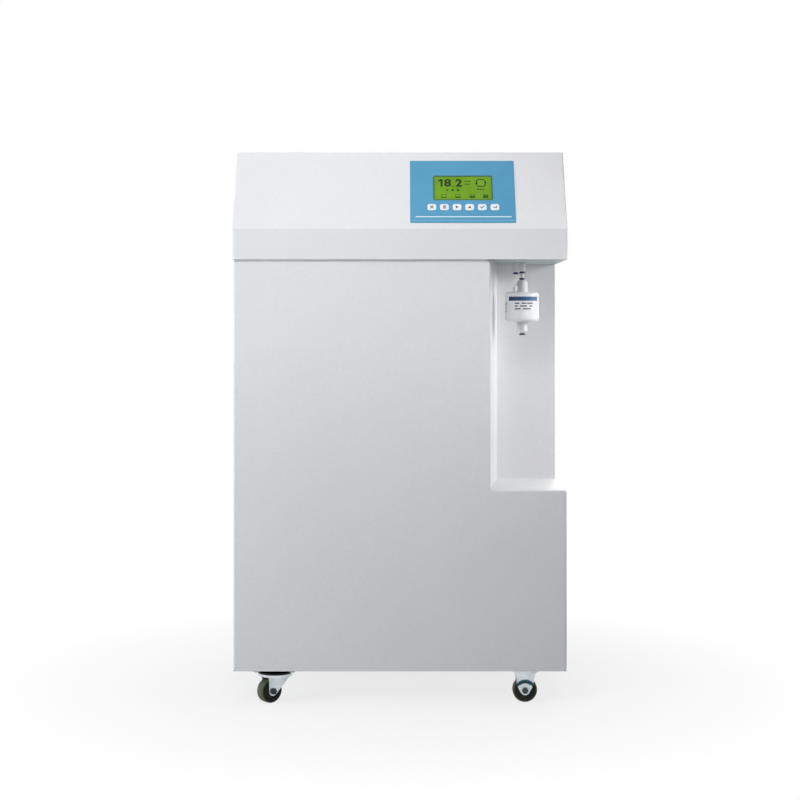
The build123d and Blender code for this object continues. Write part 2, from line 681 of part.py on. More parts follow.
def control_board():
    """Key board on four posts under the hood, with one push switch below each key."""
    plate = Pos(0, 0, -BOARD_DROP - BOARD / 2) * Box(BOARD_WIDTH, BOARD_HEIGHT, BOARD)
    for x in KEY_PLACES:
        switch = Box(SWITCH_SIDE, SWITCH_SIDE, SWITCH_HEIGHT)
        plate += Pos(x - KEY_X, 0, -BOARD_DROP + SWITCH_HEIGHT / 2) * switch
    dx = BOARD_WIDTH / 2 - BOARD_POST_INSET
    dy = BOARD_HEIGHT / 2 - BOARD_POST_INSET
    for x in (-dx, dx):
        for y in (-dy, dy):
            plate += rod(BOARD_POST_RADIUS, -BOARD_DROP, -HOOD_WALL, x, y)
    return PANEL_PLANE * (Pos(KEY_X, KEY_UP, 0) * plate)


def key(x):
    """One key cap with the stem that reaches down to its switch."""
    low = KEY_TRAVEL + KEY_SLACK
    cap = rounded_plate(KEY_WIDTH, KEY_HEIGHT, KEY_CORNER, low, OVERLAY + KEY_PROUD)
    cap = fillet(cap.faces().sort_by(Axis.Z)[-1].edges(), KEY_EDGE)
    stem = rod(STEM_RADIUS, -BOARD_DROP + SWITCH_HEIGHT + low, low)
    return PANEL_PLANE * (Pos(x, KEY_UP, 0) * (cap + stem))


# Dispensing fittings and the final filter


def push_fitting(with_collet):
    """Bulkhead tube fitting: mouth at height zero facing down, panel face at the body's length."""
    panel = FITTING_BODY + SHEET
    mouth = COLLET_RADIUS + COLLET_FIT if with_collet else TUBE_BORE
    top = FITTING_BODY + FITTING_SHANK
    outline = [
        (mouth, 0),
        (FITTING_RADIUS - FITTING_RIM, 0),
        (FITTING_RADIUS, FITTING_RIM),
        (FITTING_RADIUS, FITTING_BODY),
        (FITTING_SHANK_RADIUS, FITTING_BODY),
        (FITTING_SHANK_RADIUS, top),
        (PASSAGE_RADIUS, top),
        (PASSAGE_RADIUS, TUBE_SEAT),
        (TUBE_BORE, TUBE_SEAT),
    ]
    if with_collet:
        seat = COLLET_SLEEVE + COLLET_TRAVEL + COLLET_FIT
        outline += [(TUBE_BORE, seat), (mouth, seat)]
    nut = hexagon(FITTING_NUT_RADIUS, panel, panel + FITTING_NUT)
    nut -= rod(PASSAGE_RADIUS, panel - OVERRUN, panel + FITTING_NUT + OVERRUN)
    return turned(outline) + nut


def collet(above):
    """Release collet of a fitting whose mouth is at height zero, with the body above or below it."""
    shoulder = -COLLET_GAP
    outline = [
        (TUBE_BORE, shoulder - COLLET_FLANGE),
        (COLLET_FLANGE_RADIUS, shoulder - COLLET_FLANGE),
        (COLLET_FLANGE_RADIUS, shoulder),
        (COLLET_RADIUS, shoulder),
        (COLLET_RADIUS, COLLET_SLEEVE),
        (TUBE_BORE, COLLET_SLEEVE),
    ]
    ring = turned(outline)
    return ring if above else Rot(180, 0, 0) * ring


def filtered_place(shape):
    """Stands a shape made on the Z axis under the filtered outlet."""
    return Pos(X_FILTERED, Y_FILTERED, 0) * shape


def filter_feed_tube():
    """Short tube from the filtered outlet to the capsule's inlet."""
    low = Z_INLET - TUBE_SEAT
    high = Z_MOUTH + TUBE_SEAT - TUBE_STOP_GAP
    tube = rod(TUBE_RADIUS, low, high) - rod(TUBE_RADIUS - TUBE_WALL, low - OVERRUN, high + OVERRUN)
    return filtered_place(tube)


def filter_inlet_fitting():
    """Domed inlet of the capsule, with the seat of its collet and tube."""
    seat = Z_INLET - COLLET_SLEEVE - COLLET_TRAVEL - COLLET_FIT
    stop = Z_INLET - TUBE_SEAT
    mouth = COLLET_RADIUS + COLLET_FIT
    collar = Z_CAPSULE + INLET_COLLAR
    neck = collar + INLET_NECK
    dome = ThreePointArc(
        (INLET_NECK_RADIUS, 0, neck),
        (
            INLET_TOP_RADIUS + DOME_MIDDLE_SHARE * (INLET_NECK_RADIUS - INLET_TOP_RADIUS),
            0,
            neck + DOME_MIDDLE_SHARE * (Z_INLET - neck),
        ),
        (INLET_TOP_RADIUS, 0, Z_INLET),
    )
    rest = Polyline(
        (INLET_TOP_RADIUS, 0, Z_INLET),
        (mouth, 0, Z_INLET),
        (mouth, 0, seat),
        (TUBE_BORE, 0, seat),
        (TUBE_BORE, 0, stop),
        (PASSAGE_RADIUS, 0, stop),
        (PASSAGE_RADIUS, 0, Z_CAPSULE),
        (INLET_COLLAR_RADIUS, 0, Z_CAPSULE),
        (INLET_COLLAR_RADIUS, 0, collar),
        (INLET_NECK_RADIUS, 0, collar),
        (INLET_NECK_RADIUS, 0, neck),
    )
    return filtered_place(revolve(make_face(dome + rest), Axis.Z))


def filter_capsule():
    """Capsule body with round shoulders and the weld bead of its lower cap."""
    body = rod(CAPSULE_RADIUS, Z_OUTLET, Z_CAPSULE)
    body = fillet(body.edges().filter_by(GeomType.CIRCLE), CAPSULE_EDGE)
    low = Z_OUTLET + CAPSULE_BEAD_UP
    bead = rod(CAPSULE_RADIUS + CAPSULE_BEAD, low, low + CAPSULE_BEAD_HEIGHT)
    return filtered_place(body + bead)


def filter_outlet_fitting():
    """Outlet of the capsule: a collar, a neck and a nut with the seat of its collet."""
    mouth = COLLET_RADIUS + COLLET_FIT
    seat = Z_NOZZLE + COLLET_SLEEVE + COLLET_TRAVEL + COLLET_FIT
    stop = Z_NOZZLE + TUBE_SEAT
    collar = Z_OUTLET - OUTLET_COLLAR
    neck = collar - OUTLET_NECK
    outline = [
        (PASSAGE_RADIUS, Z_OUTLET),
        (OUTLET_COLLAR_RADIUS, Z_OUTLET),
        (OUTLET_COLLAR_RADIUS, collar),
        (OUTLET_NECK_RADIUS, collar),
        (OUTLET_NECK_RADIUS, neck),
        (OUTLET_NUT_RADIUS, neck),
        (OUTLET_NUT_RADIUS, Z_NOZZLE + OUTLET_RIM),
        (INLET_TOP_RADIUS, Z_NOZZLE),
        (mouth, Z_NOZZLE),
        (mouth, seat),
        (TUBE_BORE, seat),
        (TUBE_BORE, stop),
        (PASSAGE_RADIUS, stop),
    ]
    return filtered_place(turned(outline))


# Casters


def plate_holes(width, depth):
    """Where a caster plate of a given size is bolted, from its centre."""
    dx = width / 2 - CASTER_BOLT_INSET
    dy = depth / 2 - CASTER_BOLT_INSET
    return [(x, y) for x in (-dx, dx) for y in (-dy, dy)]


def caster_bolt_places():
    """Where the caster bolts pass through the base pan."""
    places = []
    for row in CASTER_ROWS.values():
        places += [(x - X_CASTER, y + row) for x, y in plate_holes(PLATE_WIDTH, PLATE_DEPTH)]
        places += [(x + X_CASTER, y + row) for x, y in plate_holes(RIGID_PLATE_WIDTH, RIGID_PLATE_DEPTH)]
    return places


def caster_plate(width, depth):
    """Mounting plate of one caster, under the base pan, with its bolt holes."""
    low = CASTER_HEIGHT - PLATE
    plate = rounded_plate(width, depth, PLATE_CORNER, low, CASTER_HEIGHT)
    for x, y in plate_holes(width, depth):
        plate -= rod(CASTER_BOLT_RADIUS + CASTER_BOLT_FIT, low - OVERRUN, CASTER_HEIGHT + OVERRUN, x, y)
    return plate


def swivel_plate():
    """Mounting plate with its dished bearing race and the kingpin that holds the fork."""
    race_top = CASTER_HEIGHT - PLATE
    race_low = race_top - RACE
    head_top = Z_CROWN - SWIVEL_GAP
    race = turned(
        [
            (0, race_top),
            (RACE_TOP_RADIUS, race_top),
            (RACE_RADIUS, race_low),
            (KINGPIN_RADIUS, race_low),
            (KINGPIN_RADIUS, head_top),
            (KINGPIN_HEAD_RADIUS, head_top),
            (KINGPIN_HEAD_RADIUS, head_top - KINGPIN_HEAD),
            (0, head_top - KINGPIN_HEAD),
        ]
    )
    return caster_plate(PLATE_WIDTH, PLATE_DEPTH) + race


def cheek_prism(outline, inner, outer):
    """Upright plate across Y between two offsets, from its outline in X and Z."""
    face = Rot(90, 0, 0) * outline
    return Pos(0, outer, 0) * extrude(face, outer - inner, dir=(0, -1, 0))


def fork_cheek(offset_y):
    """One leg of the swivel fork: raked in front, upright behind and curved out under the crown."""
    boss = Pos(-TRAIL, WHEEL_RADIUS) * Circle(CHEEK_END_RADIUS)
    back = -TRAIL - CHEEK_END_RADIUS
    low = Z_CROWN - CROWN_SKIRT
    corners = [(back, WHEEL_RADIUS), (CHEEK_FRONT, low), (CHEEK_FRONT, Z_CROWN), (back, Z_CROWN)]
    leg = make_hull(boss.edges() + Polyline(*corners, close=True).edges())
    curve = Pos(back - CHEEK_CURVE / 2, low - CHEEK_CURVE / 2) * Rectangle(CHEEK_CURVE, CHEEK_CURVE)
    curve -= Pos(back - CHEEK_CURVE, low - CHEEK_CURVE) * Circle(CHEEK_CURVE)
    hole = Pos(-TRAIL, WHEEL_RADIUS) * Circle(AXLE_RADIUS + AXLE_FIT)
    return cheek_prism(leg + curve - hole, offset_y, offset_y + CHEEK)


def swivel_fork():
    """Pressed fork: a crown cup that turns on the kingpin and two legs down to the axle."""
    bore = KINGPIN_RADIUS + SWIVEL_FIT
    low = Z_CROWN - CROWN_SKIRT
    fork = turned(
        [
            (bore, Z_CROWN),
            (bore, Z_CROWN + CROWN),
            (CROWN_RADIUS, Z_CROWN + CROWN),
            (CROWN_RADIUS, low),
            (CROWN_RADIUS - CROWN_WALL, low),
            (CROWN_RADIUS - CROWN_WALL, Z_CROWN),
        ]
    )
    for leg in mirrored_pair(fork_cheek, CHEEK_INNER):
        fork += leg
    return fork


def bracket_leg(offset_y):
    """One leg of the rigid bracket: a skirt that steps in through a conical arc to the axle leg."""
    top = CASTER_HEIGHT - PLATE
    step = offset_y + BRACKET_STEP
    arc = BRACKET_ARC_RADIUS + BRACKET_ARC_FLARE
    low = WHEEL_RADIUS + BRACKET_SKIRT_UP
    edge = Polyline(
        (-BRACKET_WAIST_HALF, low),
        (BRACKET_WAIST_HALF, low),
        (BRACKET_WAIST_HALF, WHEEL_RADIUS + arc),
        (BRACKET_TOP_HALF, top),
        (-BRACKET_TOP_HALF, top),
        (-BRACKET_WAIST_HALF, WHEEL_RADIUS + arc),
        close=True,
    )
    axle = Pos(0, WHEEL_RADIUS)
    outline = make_face(edge)
    toe = make_hull((axle * Circle(CHEEK_END_RADIUS)).edges() + edge.edges())
    leg = cheek_prism(toe & (axle * Circle(BRACKET_ARC_RADIUS)), offset_y, offset_y + CHEEK)
    leg += cheek_prism(outline - axle * Circle(arc - CHEEK), step, step + CHEEK)
    cone = Cone(arc, BRACKET_ARC_RADIUS, BRACKET_STEP)
    cone -= Cone(arc - CHEEK, BRACKET_ARC_RADIUS - CHEEK, BRACKET_STEP)
    flare = Pos(0, offset_y + CHEEK + BRACKET_STEP / 2, WHEEL_RADIUS) * (Rot(90, 0, 0) * cone)
    leg += flare & cheek_prism(outline, 0, WIDTH)
    return leg - rod_y(AXLE_RADIUS + AXLE_FIT, 0, WIDTH, 0, WHEEL_RADIUS)


def rigid_bracket():
    """Fixed caster bracket: the mounting plate with two stepped legs."""
    bracket = caster_plate(RIGID_PLATE_WIDTH, RIGID_PLATE_DEPTH)
    for leg in mirrored_pair(bracket_leg, CHEEK_INNER):
        bracket += leg
    return bracket


def caster_wheel():
    """Solid tyre on a dished hub, turned about the axle."""
    half = WHEEL_WIDTH / 2
    bore = AXLE_RADIUS + AXLE_FIT
    outline = [
        (bore, -half),
        (BOSS_RADIUS, -half),
        (BOSS_RADIUS, -half + HUB_SINK),
        (HUB_RADIUS, -half + HUB_SINK),
        (HUB_RADIUS, -half),
        (WHEEL_RADIUS, -half),
        (WHEEL_RADIUS, half),
        (HUB_RADIUS, half),
        (HUB_RADIUS, half - HUB_SINK),
        (BOSS_RADIUS, half - HUB_SINK),
        (BOSS_RADIUS, half),
        (bore, half),
    ]
    wheel = turned(outline)
    circles = wheel.edges().filter_by(GeomType.CIRCLE).sort_by(SortBy.RADIUS)
    wheel = fillet(circles[-2:], TREAD_EDGE)
    return Pos(0, 0, WHEEL_RADIUS) * (Rot(90, 0, 0) * wheel)


def caster_axle(reach):
    """Axle bolt across the legs, with a hexagon at each end."""
    shaft = rod(AXLE_RADIUS, -reach, reach)
    for low in (-reach - AXLE_HEAD, reach):
        shaft += hexagon(AXLE_HEAD_RADIUS, low, low + AXLE_HEAD)
    return Pos(0, 0, WHEEL_RADIUS) * (Rot(90, 0, 0) * shaft)


def caster_bolts():
    """Hexagon bolts that hold the four casters, up through the base pan."""
    low = CASTER_HEIGHT - PLATE
    bolt = hexagon(CASTER_BOLT_HEAD_RADIUS, low - CASTER_BOLT_HEAD, low)
    bolt += rod(CASTER_BOLT_RADIUS, low, Z_FLOOR)
    return Compound([Pos(x, y, 0) * bolt for x, y in caster_bolt_places()])


def casters():
    """Swivel casters on the left and rigid ones on the right, as named pieces."""
    pieces = {}
    axles = []
    for row, y in CASTER_ROWS.items():
        left = Pos(-X_CASTER, y, 0)
        turn = left * Rot(0, 0, CASTER_TURNS[row])
        trail = turn * Pos(-TRAIL, 0, 0)
        right = Pos(X_CASTER, y, 0)
        pieces[f"{row}_left_caster_plate"] = left * swivel_plate()
        pieces[f"{row}_left_caster_fork"] = turn * swivel_fork()
        pieces[f"{row}_left_caster_wheel"] = trail * caster_wheel()
        pieces[f"{row}_left_caster_axle"] = trail * caster_axle(CHEEK_OUTER)
        pieces[f"{row}_right_caster_bracket"] = right * rigid_bracket()
        pieces[f"{row}_right_caster_wheel"] = right * caster_wheel()
        axles.append(right * caster_axle(CHEEK_OUTER))
    pieces["right_caster_axles"] = Compound(axles)
    pieces["caster_bolts"] = caster_bolts()
    return pieces


# Rear connectors


def rear_fitting_places():
    """Rear tube fittings, each straight behind the piece inside that it serves."""
    return {
        "feed": (X_VALVE, Z_VALVE),
        "drain": (VESSEL_PORTS[0], Z_VESSEL),
        "tank": (VESSEL_PORTS[1], Z_VESSEL),
    }


def rear_fitting(x, z):
    """Tube fitting through the rear panel, its mouth facing back."""
    return Pos(x, Y_REAR + FITTING_BODY, z) * (Rot(90, 0, 0) * push_fitting(False))


def power_place(shape):
    """Stands a shape made on XY, with Z pointing out, upright on the rear panel."""
    return Plane(origin=(X_POWER, Y_REAR, Z_POWER), x_dir=(-1, 0, 0), z_dir=(0, 1, 0)) * shape


def power_inlet():
    """Mains inlet: a flanged frame with the plug's socket below and the rocker's well above."""
    flange = rounded_plate(POWER_WIDTH, POWER_HEIGHT, POWER_RIM, 0, POWER_FLANGE)
    width = POWER_WIDTH - 2 * POWER_RIM
    height = POWER_HEIGHT - 2 * POWER_RIM
    body = Pos(0, 0, -POWER_BODY / 2) * Box(width, height, POWER_BODY)
    bottom = POWER_FLANGE - SOCKET_DEPTH
    half_wide = SOCKET_WIDTH / 2 - FITTING_RIM
    half_high = SOCKET_HEIGHT / 2
    mouth = Polyline(
        (-half_wide, -half_high),
        (half_wide, -half_high),
        (half_wide, half_high - SOCKET_CHAMFER),
        (half_wide - SOCKET_CHAMFER, half_high),
        (-half_wide + SOCKET_CHAMFER, half_high),
        (-half_wide, half_high - SOCKET_CHAMFER),
        close=True,
    )
    socket = Pos(0, SOCKET_UP, bottom) * extrude(make_face(mouth), SOCKET_DEPTH + OVERRUN)
    inlet = flange + body - socket
    for x, y in ((-BLADE_SPREAD, -BLADE_RISE), (0, BLADE_RISE), (BLADE_SPREAD, -BLADE_RISE)):
        blade = Box(BLADE_WIDTH, BLADE_HEIGHT, BLADE_LENGTH)
        inlet += Pos(x, SOCKET_UP + y, bottom + BLADE_LENGTH / 2) * blade
    well = Box(ROCKER_WIDTH + 2 * ROCKER_GAP, 2 * (ROCKER_RADIUS + ROCKER_GAP), 2 * POWER_BODY)
    pit = POWER_FLANGE - ROCKER_SINK - ROCKER_RADIUS - ROCKER_GAP
    inlet -= (Pos(0, ROCKER_UP, 0) * well) & block(-WIDTH, WIDTH, -WIDTH, WIDTH, pit, POWER_BODY)
    reach = ROCKER_WIDTH / 2 + ROCKER_PIN + ROCKER_GAP
    inlet -= rod_x(ROCKER_PIN_RADIUS + ROCKER_PIN_FIT, -reach, reach, ROCKER_UP, POWER_FLANGE - ROCKER_SINK)
    return power_place(inlet)


def power_rocker():
    """Rocker with a dished face, round about its pivot, resting with its lower half pressed in."""
    rise = ROCKER_DISH + ROCKER_RADIUS * math.tan(math.radians(ROCKER_TILT))
    lid = Polyline(
        (0, ROCKER_DISH),
        (ROCKER_RADIUS, rise),
        (ROCKER_RADIUS, ROCKER_RADIUS + OVERRUN),
        (-ROCKER_RADIUS, ROCKER_RADIUS + OVERRUN),
        (-ROCKER_RADIUS, rise),
        close=True,
    )
    side = Circle(ROCKER_RADIUS) - make_face(lid)
    solid = extrude(Plane.YZ * side, ROCKER_WIDTH / 2, both=True)
    reach = ROCKER_WIDTH / 2 + ROCKER_PIN
    solid += rod_x(ROCKER_PIN_RADIUS, -reach, reach, 0, 0)
    return power_place(Pos(0, ROCKER_UP, POWER_FLANGE - ROCKER_SINK) * (Rot(ROCKER_TILT, 0, 0) * solid))


# Treatment train


def column_body():
    """Upright cartridge on a foot ring, with ribbed end caps and two ports on top."""
    low_cap = Z_FLOOR + COLUMN_CAP
    high_cap = Z_COLUMN - COLUMN_CAP
    cap = COLUMN_RADIUS
    wall = COLUMN_WALL_RADIUS
    body = turned(
        [
            (0, Z_FLOOR),
            (cap - COLUMN_FOOT / 2, Z_FLOOR),
            (cap, Z_FLOOR + COLUMN_FOOT),
            (cap, low_cap),
            (wall, low_cap),
            (wall, high_cap),
            (cap, high_cap),
            (cap, Z_COLUMN - COLUMN_FOOT),
            (cap - COLUMN_FOOT, Z_COLUMN),
            (0, Z_COLUMN),
        ]
    )
    groove = rod(COLUMN_CAP_RIB, high_cap, Z_COLUMN - COLUMN_FOOT, cap + COLUMN_CAP_RIB / 2)
    for i in range(COLUMN_CAP_RIBS):
        body -= Rot(0, 0, i * 360 / COLUMN_CAP_RIBS) * groove
    for x in (-PORT_SPREAD, PORT_SPREAD):
        body += rod(PORT_RADIUS, Z_COLUMN, Z_PORT, x)
    return body


def membrane_vessel():
    """Reverse-osmosis vessel along X with stepped end caps and ports at its ends, back and top."""
    half = VESSEL_LENGTH / 2
    vessel = rod_x(VESSEL_RADIUS, -half, half, 0, 0)
    for end in (-1, 1):
        outer, inner = end * half, end * (half - VESSEL_CAP)
        vessel += rod_x(VESSEL_RADIUS + VESSEL_CAP_STEP, min(outer, inner), max(outer, inner), 0, 0)
        tip = end * (half + PORT_HEIGHT)
        vessel += rod_x(PORT_RADIUS, min(outer, tip), max(outer, tip), 0, 0)
    for x in VESSEL_PORTS:
        vessel += rod_y(PORT_RADIUS, 0, VESSEL_RADIUS + VESSEL_CAP_STEP, x - X_VESSEL, 0)
    vessel += rod(PORT_RADIUS, 0, VESSEL_RADIUS + PORT_HEIGHT, X_TOP_PORT - X_VESSEL)
    return Pos(X_VESSEL, Y_VESSEL, Z_VESSEL) * vessel


def clip(radius):
    """Open spring ring round a cylinder along Z, its foot reaching back to the plate."""
    inner = radius + CLIP_FIT
    outer = inner + CLIP_WALL
    half = CLIP_HEIGHT / 2
    ring = rod(outer, -half, half) - rod(inner, -half - OVERRUN, half + OVERRUN)
    mouth = CLIP_MOUTH_SHARE * inner
    ring -= block(-mouth, mouth, -2 * outer, 0, -half - OVERRUN, half + OVERRUN)
    foot = block(-CLIP_FOOT_WIDTH / 2, CLIP_FOOT_WIDTH / 2, inner, outer + CLIP_FOOT, -half, half)
    foot -= rod(inner, -half - OVERRUN, half + OVERRUN)
    return ring + foot


def cartridge_clips():
    """Two clips for each cartridge and two for the vessel, all on the mounting plate."""
    clips = []
    for x in COLUMN_PLACES:
        for share in (CLIP_LOW_SHARE, CLIP_HIGH_SHARE):
            clips.append(Pos(x, Y_COLUMN, Z_FLOOR + share * COLUMN_HEIGHT) * clip(COLUMN_WALL_RADIUS))
    lying = Rot(0, 90, 0) * clip(VESSEL_RADIUS)
    for side in (-1, 1):
        place = X_VESSEL + side * VESSEL_CLIP_SPREAD_SHARE * VESSEL_LENGTH
        clips.append(Pos(place, Y_VESSEL, Z_VESSEL) * lying)
    return Compound(clips)


def booster_pump():
    """Pump on a footed base: a motor along Y, a saddle and a ribbed head with two ports."""
    low = Z_FLOOR
    base_low = low + PUMP_FOOT
    base_top = base_low + PUMP_BASE
    front = -PUMP_BASE_DEPTH / 2
    pump = block(-PUMP_BASE_WIDTH / 2, PUMP_BASE_WIDTH / 2, front, -front, base_low, base_top)
    dx = PUMP_BASE_WIDTH / 2 - PUMP_FOOT_RADIUS
    dy = PUMP_BASE_DEPTH / 2 - PUMP_FOOT_RADIUS
    for x in (-dx, dx):
        for y in (-dy, dy):
            pump += rod(PUMP_FOOT_RADIUS, low, base_low, x, y)
    motor_front = -PUMP_MOTOR / 2
    pump += rod_y(PUMP_MOTOR_RADIUS, motor_front, -motor_front, 0, Z_PUMP)
    pump += block(-PUMP_SADDLE_WIDTH / 2, PUMP_SADDLE_WIDTH / 2, front, -front, base_top, Z_PUMP)
    head_front = motor_front - PUMP_HEAD
    pump += rod_y(PUMP_HEAD_RADIUS, head_front, motor_front, 0, Z_PUMP)
    rib = rod_y(PUMP_HEAD_RIB, head_front, motor_front, PUMP_HEAD_RADIUS, 0)
    for i in range(PUMP_HEAD_RIBS):
        turn = (i + 1 / 2) * 360 / PUMP_HEAD_RIBS
        pump += Pos(0, 0, Z_PUMP) * (Rot(0, turn, 0) * rib)
    port_y = head_front + PUMP_HEAD / 2
    tip = PUMP_HEAD_RADIUS + PUMP_PORT
    pump += rod_x(PUMP_PORT_RADIUS, -tip, 0, port_y, Z_PUMP)
    pump += rod(PUMP_PORT_RADIUS, Z_PUMP, Z_PUMP + tip, 0, port_y)
    return Pos(X_PUMP, Y_PUMP, 0) * pump


def inlet_valve():
    """Feed solenoid valve on the mounting plate: a body, a coil on top and a side port."""
    middle = Y_MOUNT - VALVE_DEPTH / 2
    half = VALVE_WIDTH / 2
    valve = Pos(X_VALVE, middle, Z_VALVE) * Box(VALVE_WIDTH, VALVE_DEPTH, VALVE_HEIGHT)
    top = Z_VALVE + VALVE_HEIGHT / 2
    valve += rod(VALVE_COIL_RADIUS, top, top + VALVE_COIL, X_VALVE, middle)
    valve += rod_x(PORT_RADIUS, X_VALVE - half - PORT_HEIGHT, X_VALVE - half, middle, Z_VALVE)
    return valve


def power_supply():
    """Sheet-cased power supply on the mounting plate, slotted for cooling."""
    half = SUPPLY_WIDTH / 2
    front = Y_MOUNT - SUPPLY_DEPTH
    top = Z_SUPPLY + SUPPLY_HEIGHT
    case = block(X_SUPPLY - half, X_SUPPLY + half, front, Y_MOUNT, Z_SUPPLY, top)
    slot_half = half - SUPPLY_SLOT_PITCH
    first = (Z_SUPPLY + top) / 2 - (SUPPLY_SLOT_ROWS - 1) / 2 * SUPPLY_SLOT_PITCH
    for row in range(SUPPLY_SLOT_ROWS):
        z = first + row * SUPPLY_SLOT_PITCH
        case -= block(
            X_SUPPLY - slot_half,
            X_SUPPLY + slot_half,
            front - OVERRUN,
            front + SUPPLY_WALL,
            z - SUPPLY_SLOT / 2,
            z + SUPPLY_SLOT / 2,
        )
    return case


# Tubing inside


def tube(points, radius=BEND_RADIUS):
    """Plastic tube along straight runs joined by bends."""
    path = FilletPolyline(*points, radius=radius) if len(points) > 2 else Line(*points)
    section = Plane(origin=path @ 0, z_dir=path % 0) * Circle(TUBE_RADIUS)
    return sweep(section, path=path)


def port(column, side):
    """Top of one of a cartridge's ports."""
    return Vector(COLUMN_PLACES[column] + side * PORT_SPREAD, Y_COLUMN, Z_PORT)


def bridge(column):
    """Hoop from one cartridge's outlet over to the next one's inlet."""
    start, end = port(column, 1), port(column + 1, -1)
    up = Vector(0, 0, LOOP_LIFT)
    return tube([start, start + up, end + up, end])


def feed_run():
    """From the inlet valve up beside the cartridges and across behind them to the first one."""
    y = Y_MOUNT - VALVE_DEPTH / 2
    z = Z_PORT + LOOP_LIFT
    end = port(0, -1)
    return tube(
        [
            (X_VALVE - VALVE_WIDTH / 2 - PORT_HEIGHT, y, Z_VALVE),
            (X_FEED_RISER, y, Z_VALVE),
            (X_FEED_RISER, y, z),
            (end.X, y, z),
            (end.X, Y_COLUMN, z),
            end,
        ]
    )


def suction_run():
    """From the carbon cartridge forward, across and down to the pump's side port."""
    start = port(1, 1)
    y = Y_COLUMN - FRONT_LANE
    z = Z_PORT + LOOP_LIFT
    return tube(
        [
            start,
            (start.X, Y_COLUMN, z),
            (start.X, y, z),
            (X_DOWN_LANE, y, z),
            (X_DOWN_LANE, y, Z_PUMP),
            (X_DOWN_LANE, Y_PUMP_PORT, Z_PUMP),
            (X_PUMP - PUMP_HEAD_RADIUS - PUMP_PORT, Y_PUMP_PORT, Z_PUMP),
        ]
    )


def delivery_run():
    """From the pump's top port back and up to the end of the vessel."""
    low = Z_PUMP + PUMP_HEAD_RADIUS + PUMP_PORT
    z = low + DELIVERY_LIFT
    return tube(
        [
            (X_PUMP, Y_PUMP_PORT, low),
            (X_PUMP, Y_PUMP_PORT, z),
            (X_RISER, Y_PUMP_PORT, z),
            (X_RISER, Y_VESSEL, z),
            (X_RISER, Y_VESSEL, Z_VESSEL),
            (X_VESSEL + VESSEL_LENGTH / 2 + PORT_HEIGHT, Y_VESSEL, Z_VESSEL),
        ]
    )


def permeate_run():
    """From the vessel's far end round its front and down to the deioniser."""
    y = Y_DOOR + PERMEATE_BACK
    z = Z_PORT + LOOP_LIFT + CROSSING_LIFT
    end = port(2, -1)
    return tube(
        [
            (X_VESSEL - VESSEL_LENGTH / 2 - PORT_HEIGHT, Y_VESSEL, Z_VESSEL),
            (X_PERMEATE, Y_VESSEL, Z_VESSEL),
            (X_PERMEATE, y, Z_VESSEL),
            (end.X, y, Z_VESSEL),
            (end.X, y, z),
            (end.X, Y_COLUMN, z),
            end,
        ]
    )


def filtered_run():
    """From the polishing cartridge up through the deck and over to the filtered outlet."""
    start = port(3, 1)
    low = Z_PORT + LOOP_LIFT + CROSSING_LIFT
    high = Z_DECK + HEAD_LIFT
    return tube(
        [
            start,
            (start.X, Y_COLUMN, low),
            (start.X, Y_FILTERED, low),
            (start.X, Y_FILTERED, high),
            (X_FILTERED, Y_FILTERED, high),
            (X_FILTERED, Y_FILTERED, Z_DECK + FITTING_SHANK),
        ]
    )


def plain_run():
    """From the top of the vessel up through the deck and over to the plain outlet."""
    high = Z_DECK + HEAD_LIFT
    return tube(
        [
            (X_TOP_PORT, Y_VESSEL, Z_VESSEL + VESSEL_RADIUS + PORT_HEIGHT),
            (X_TOP_PORT, Y_VESSEL, high),
            (X_PLAIN, Y_PLAIN, high),
            (X_PLAIN, Y_PLAIN, Z_DECK + FITTING_SHANK),
        ]
    )


def internal_tubing():
    """The runs that join the valve, cartridges, pump, vessel, outlets and rear fittings."""
    runs = [bridge(0), bridge(2), feed_run(), suction_run()]
    runs += [delivery_run(), permeate_run(), filtered_run(), plain_run()]
    inner_ends = {"feed": Y_MOUNT, "drain": Y_VESSEL_PORT, "tank": Y_VESSEL_PORT}
    for name, (x, z) in rear_fitting_places().items():
        runs.append(tube([(x, inner_ends[name], z), (x, Y_REAR - FITTING_SHANK, z)]))
    return Compound(runs)


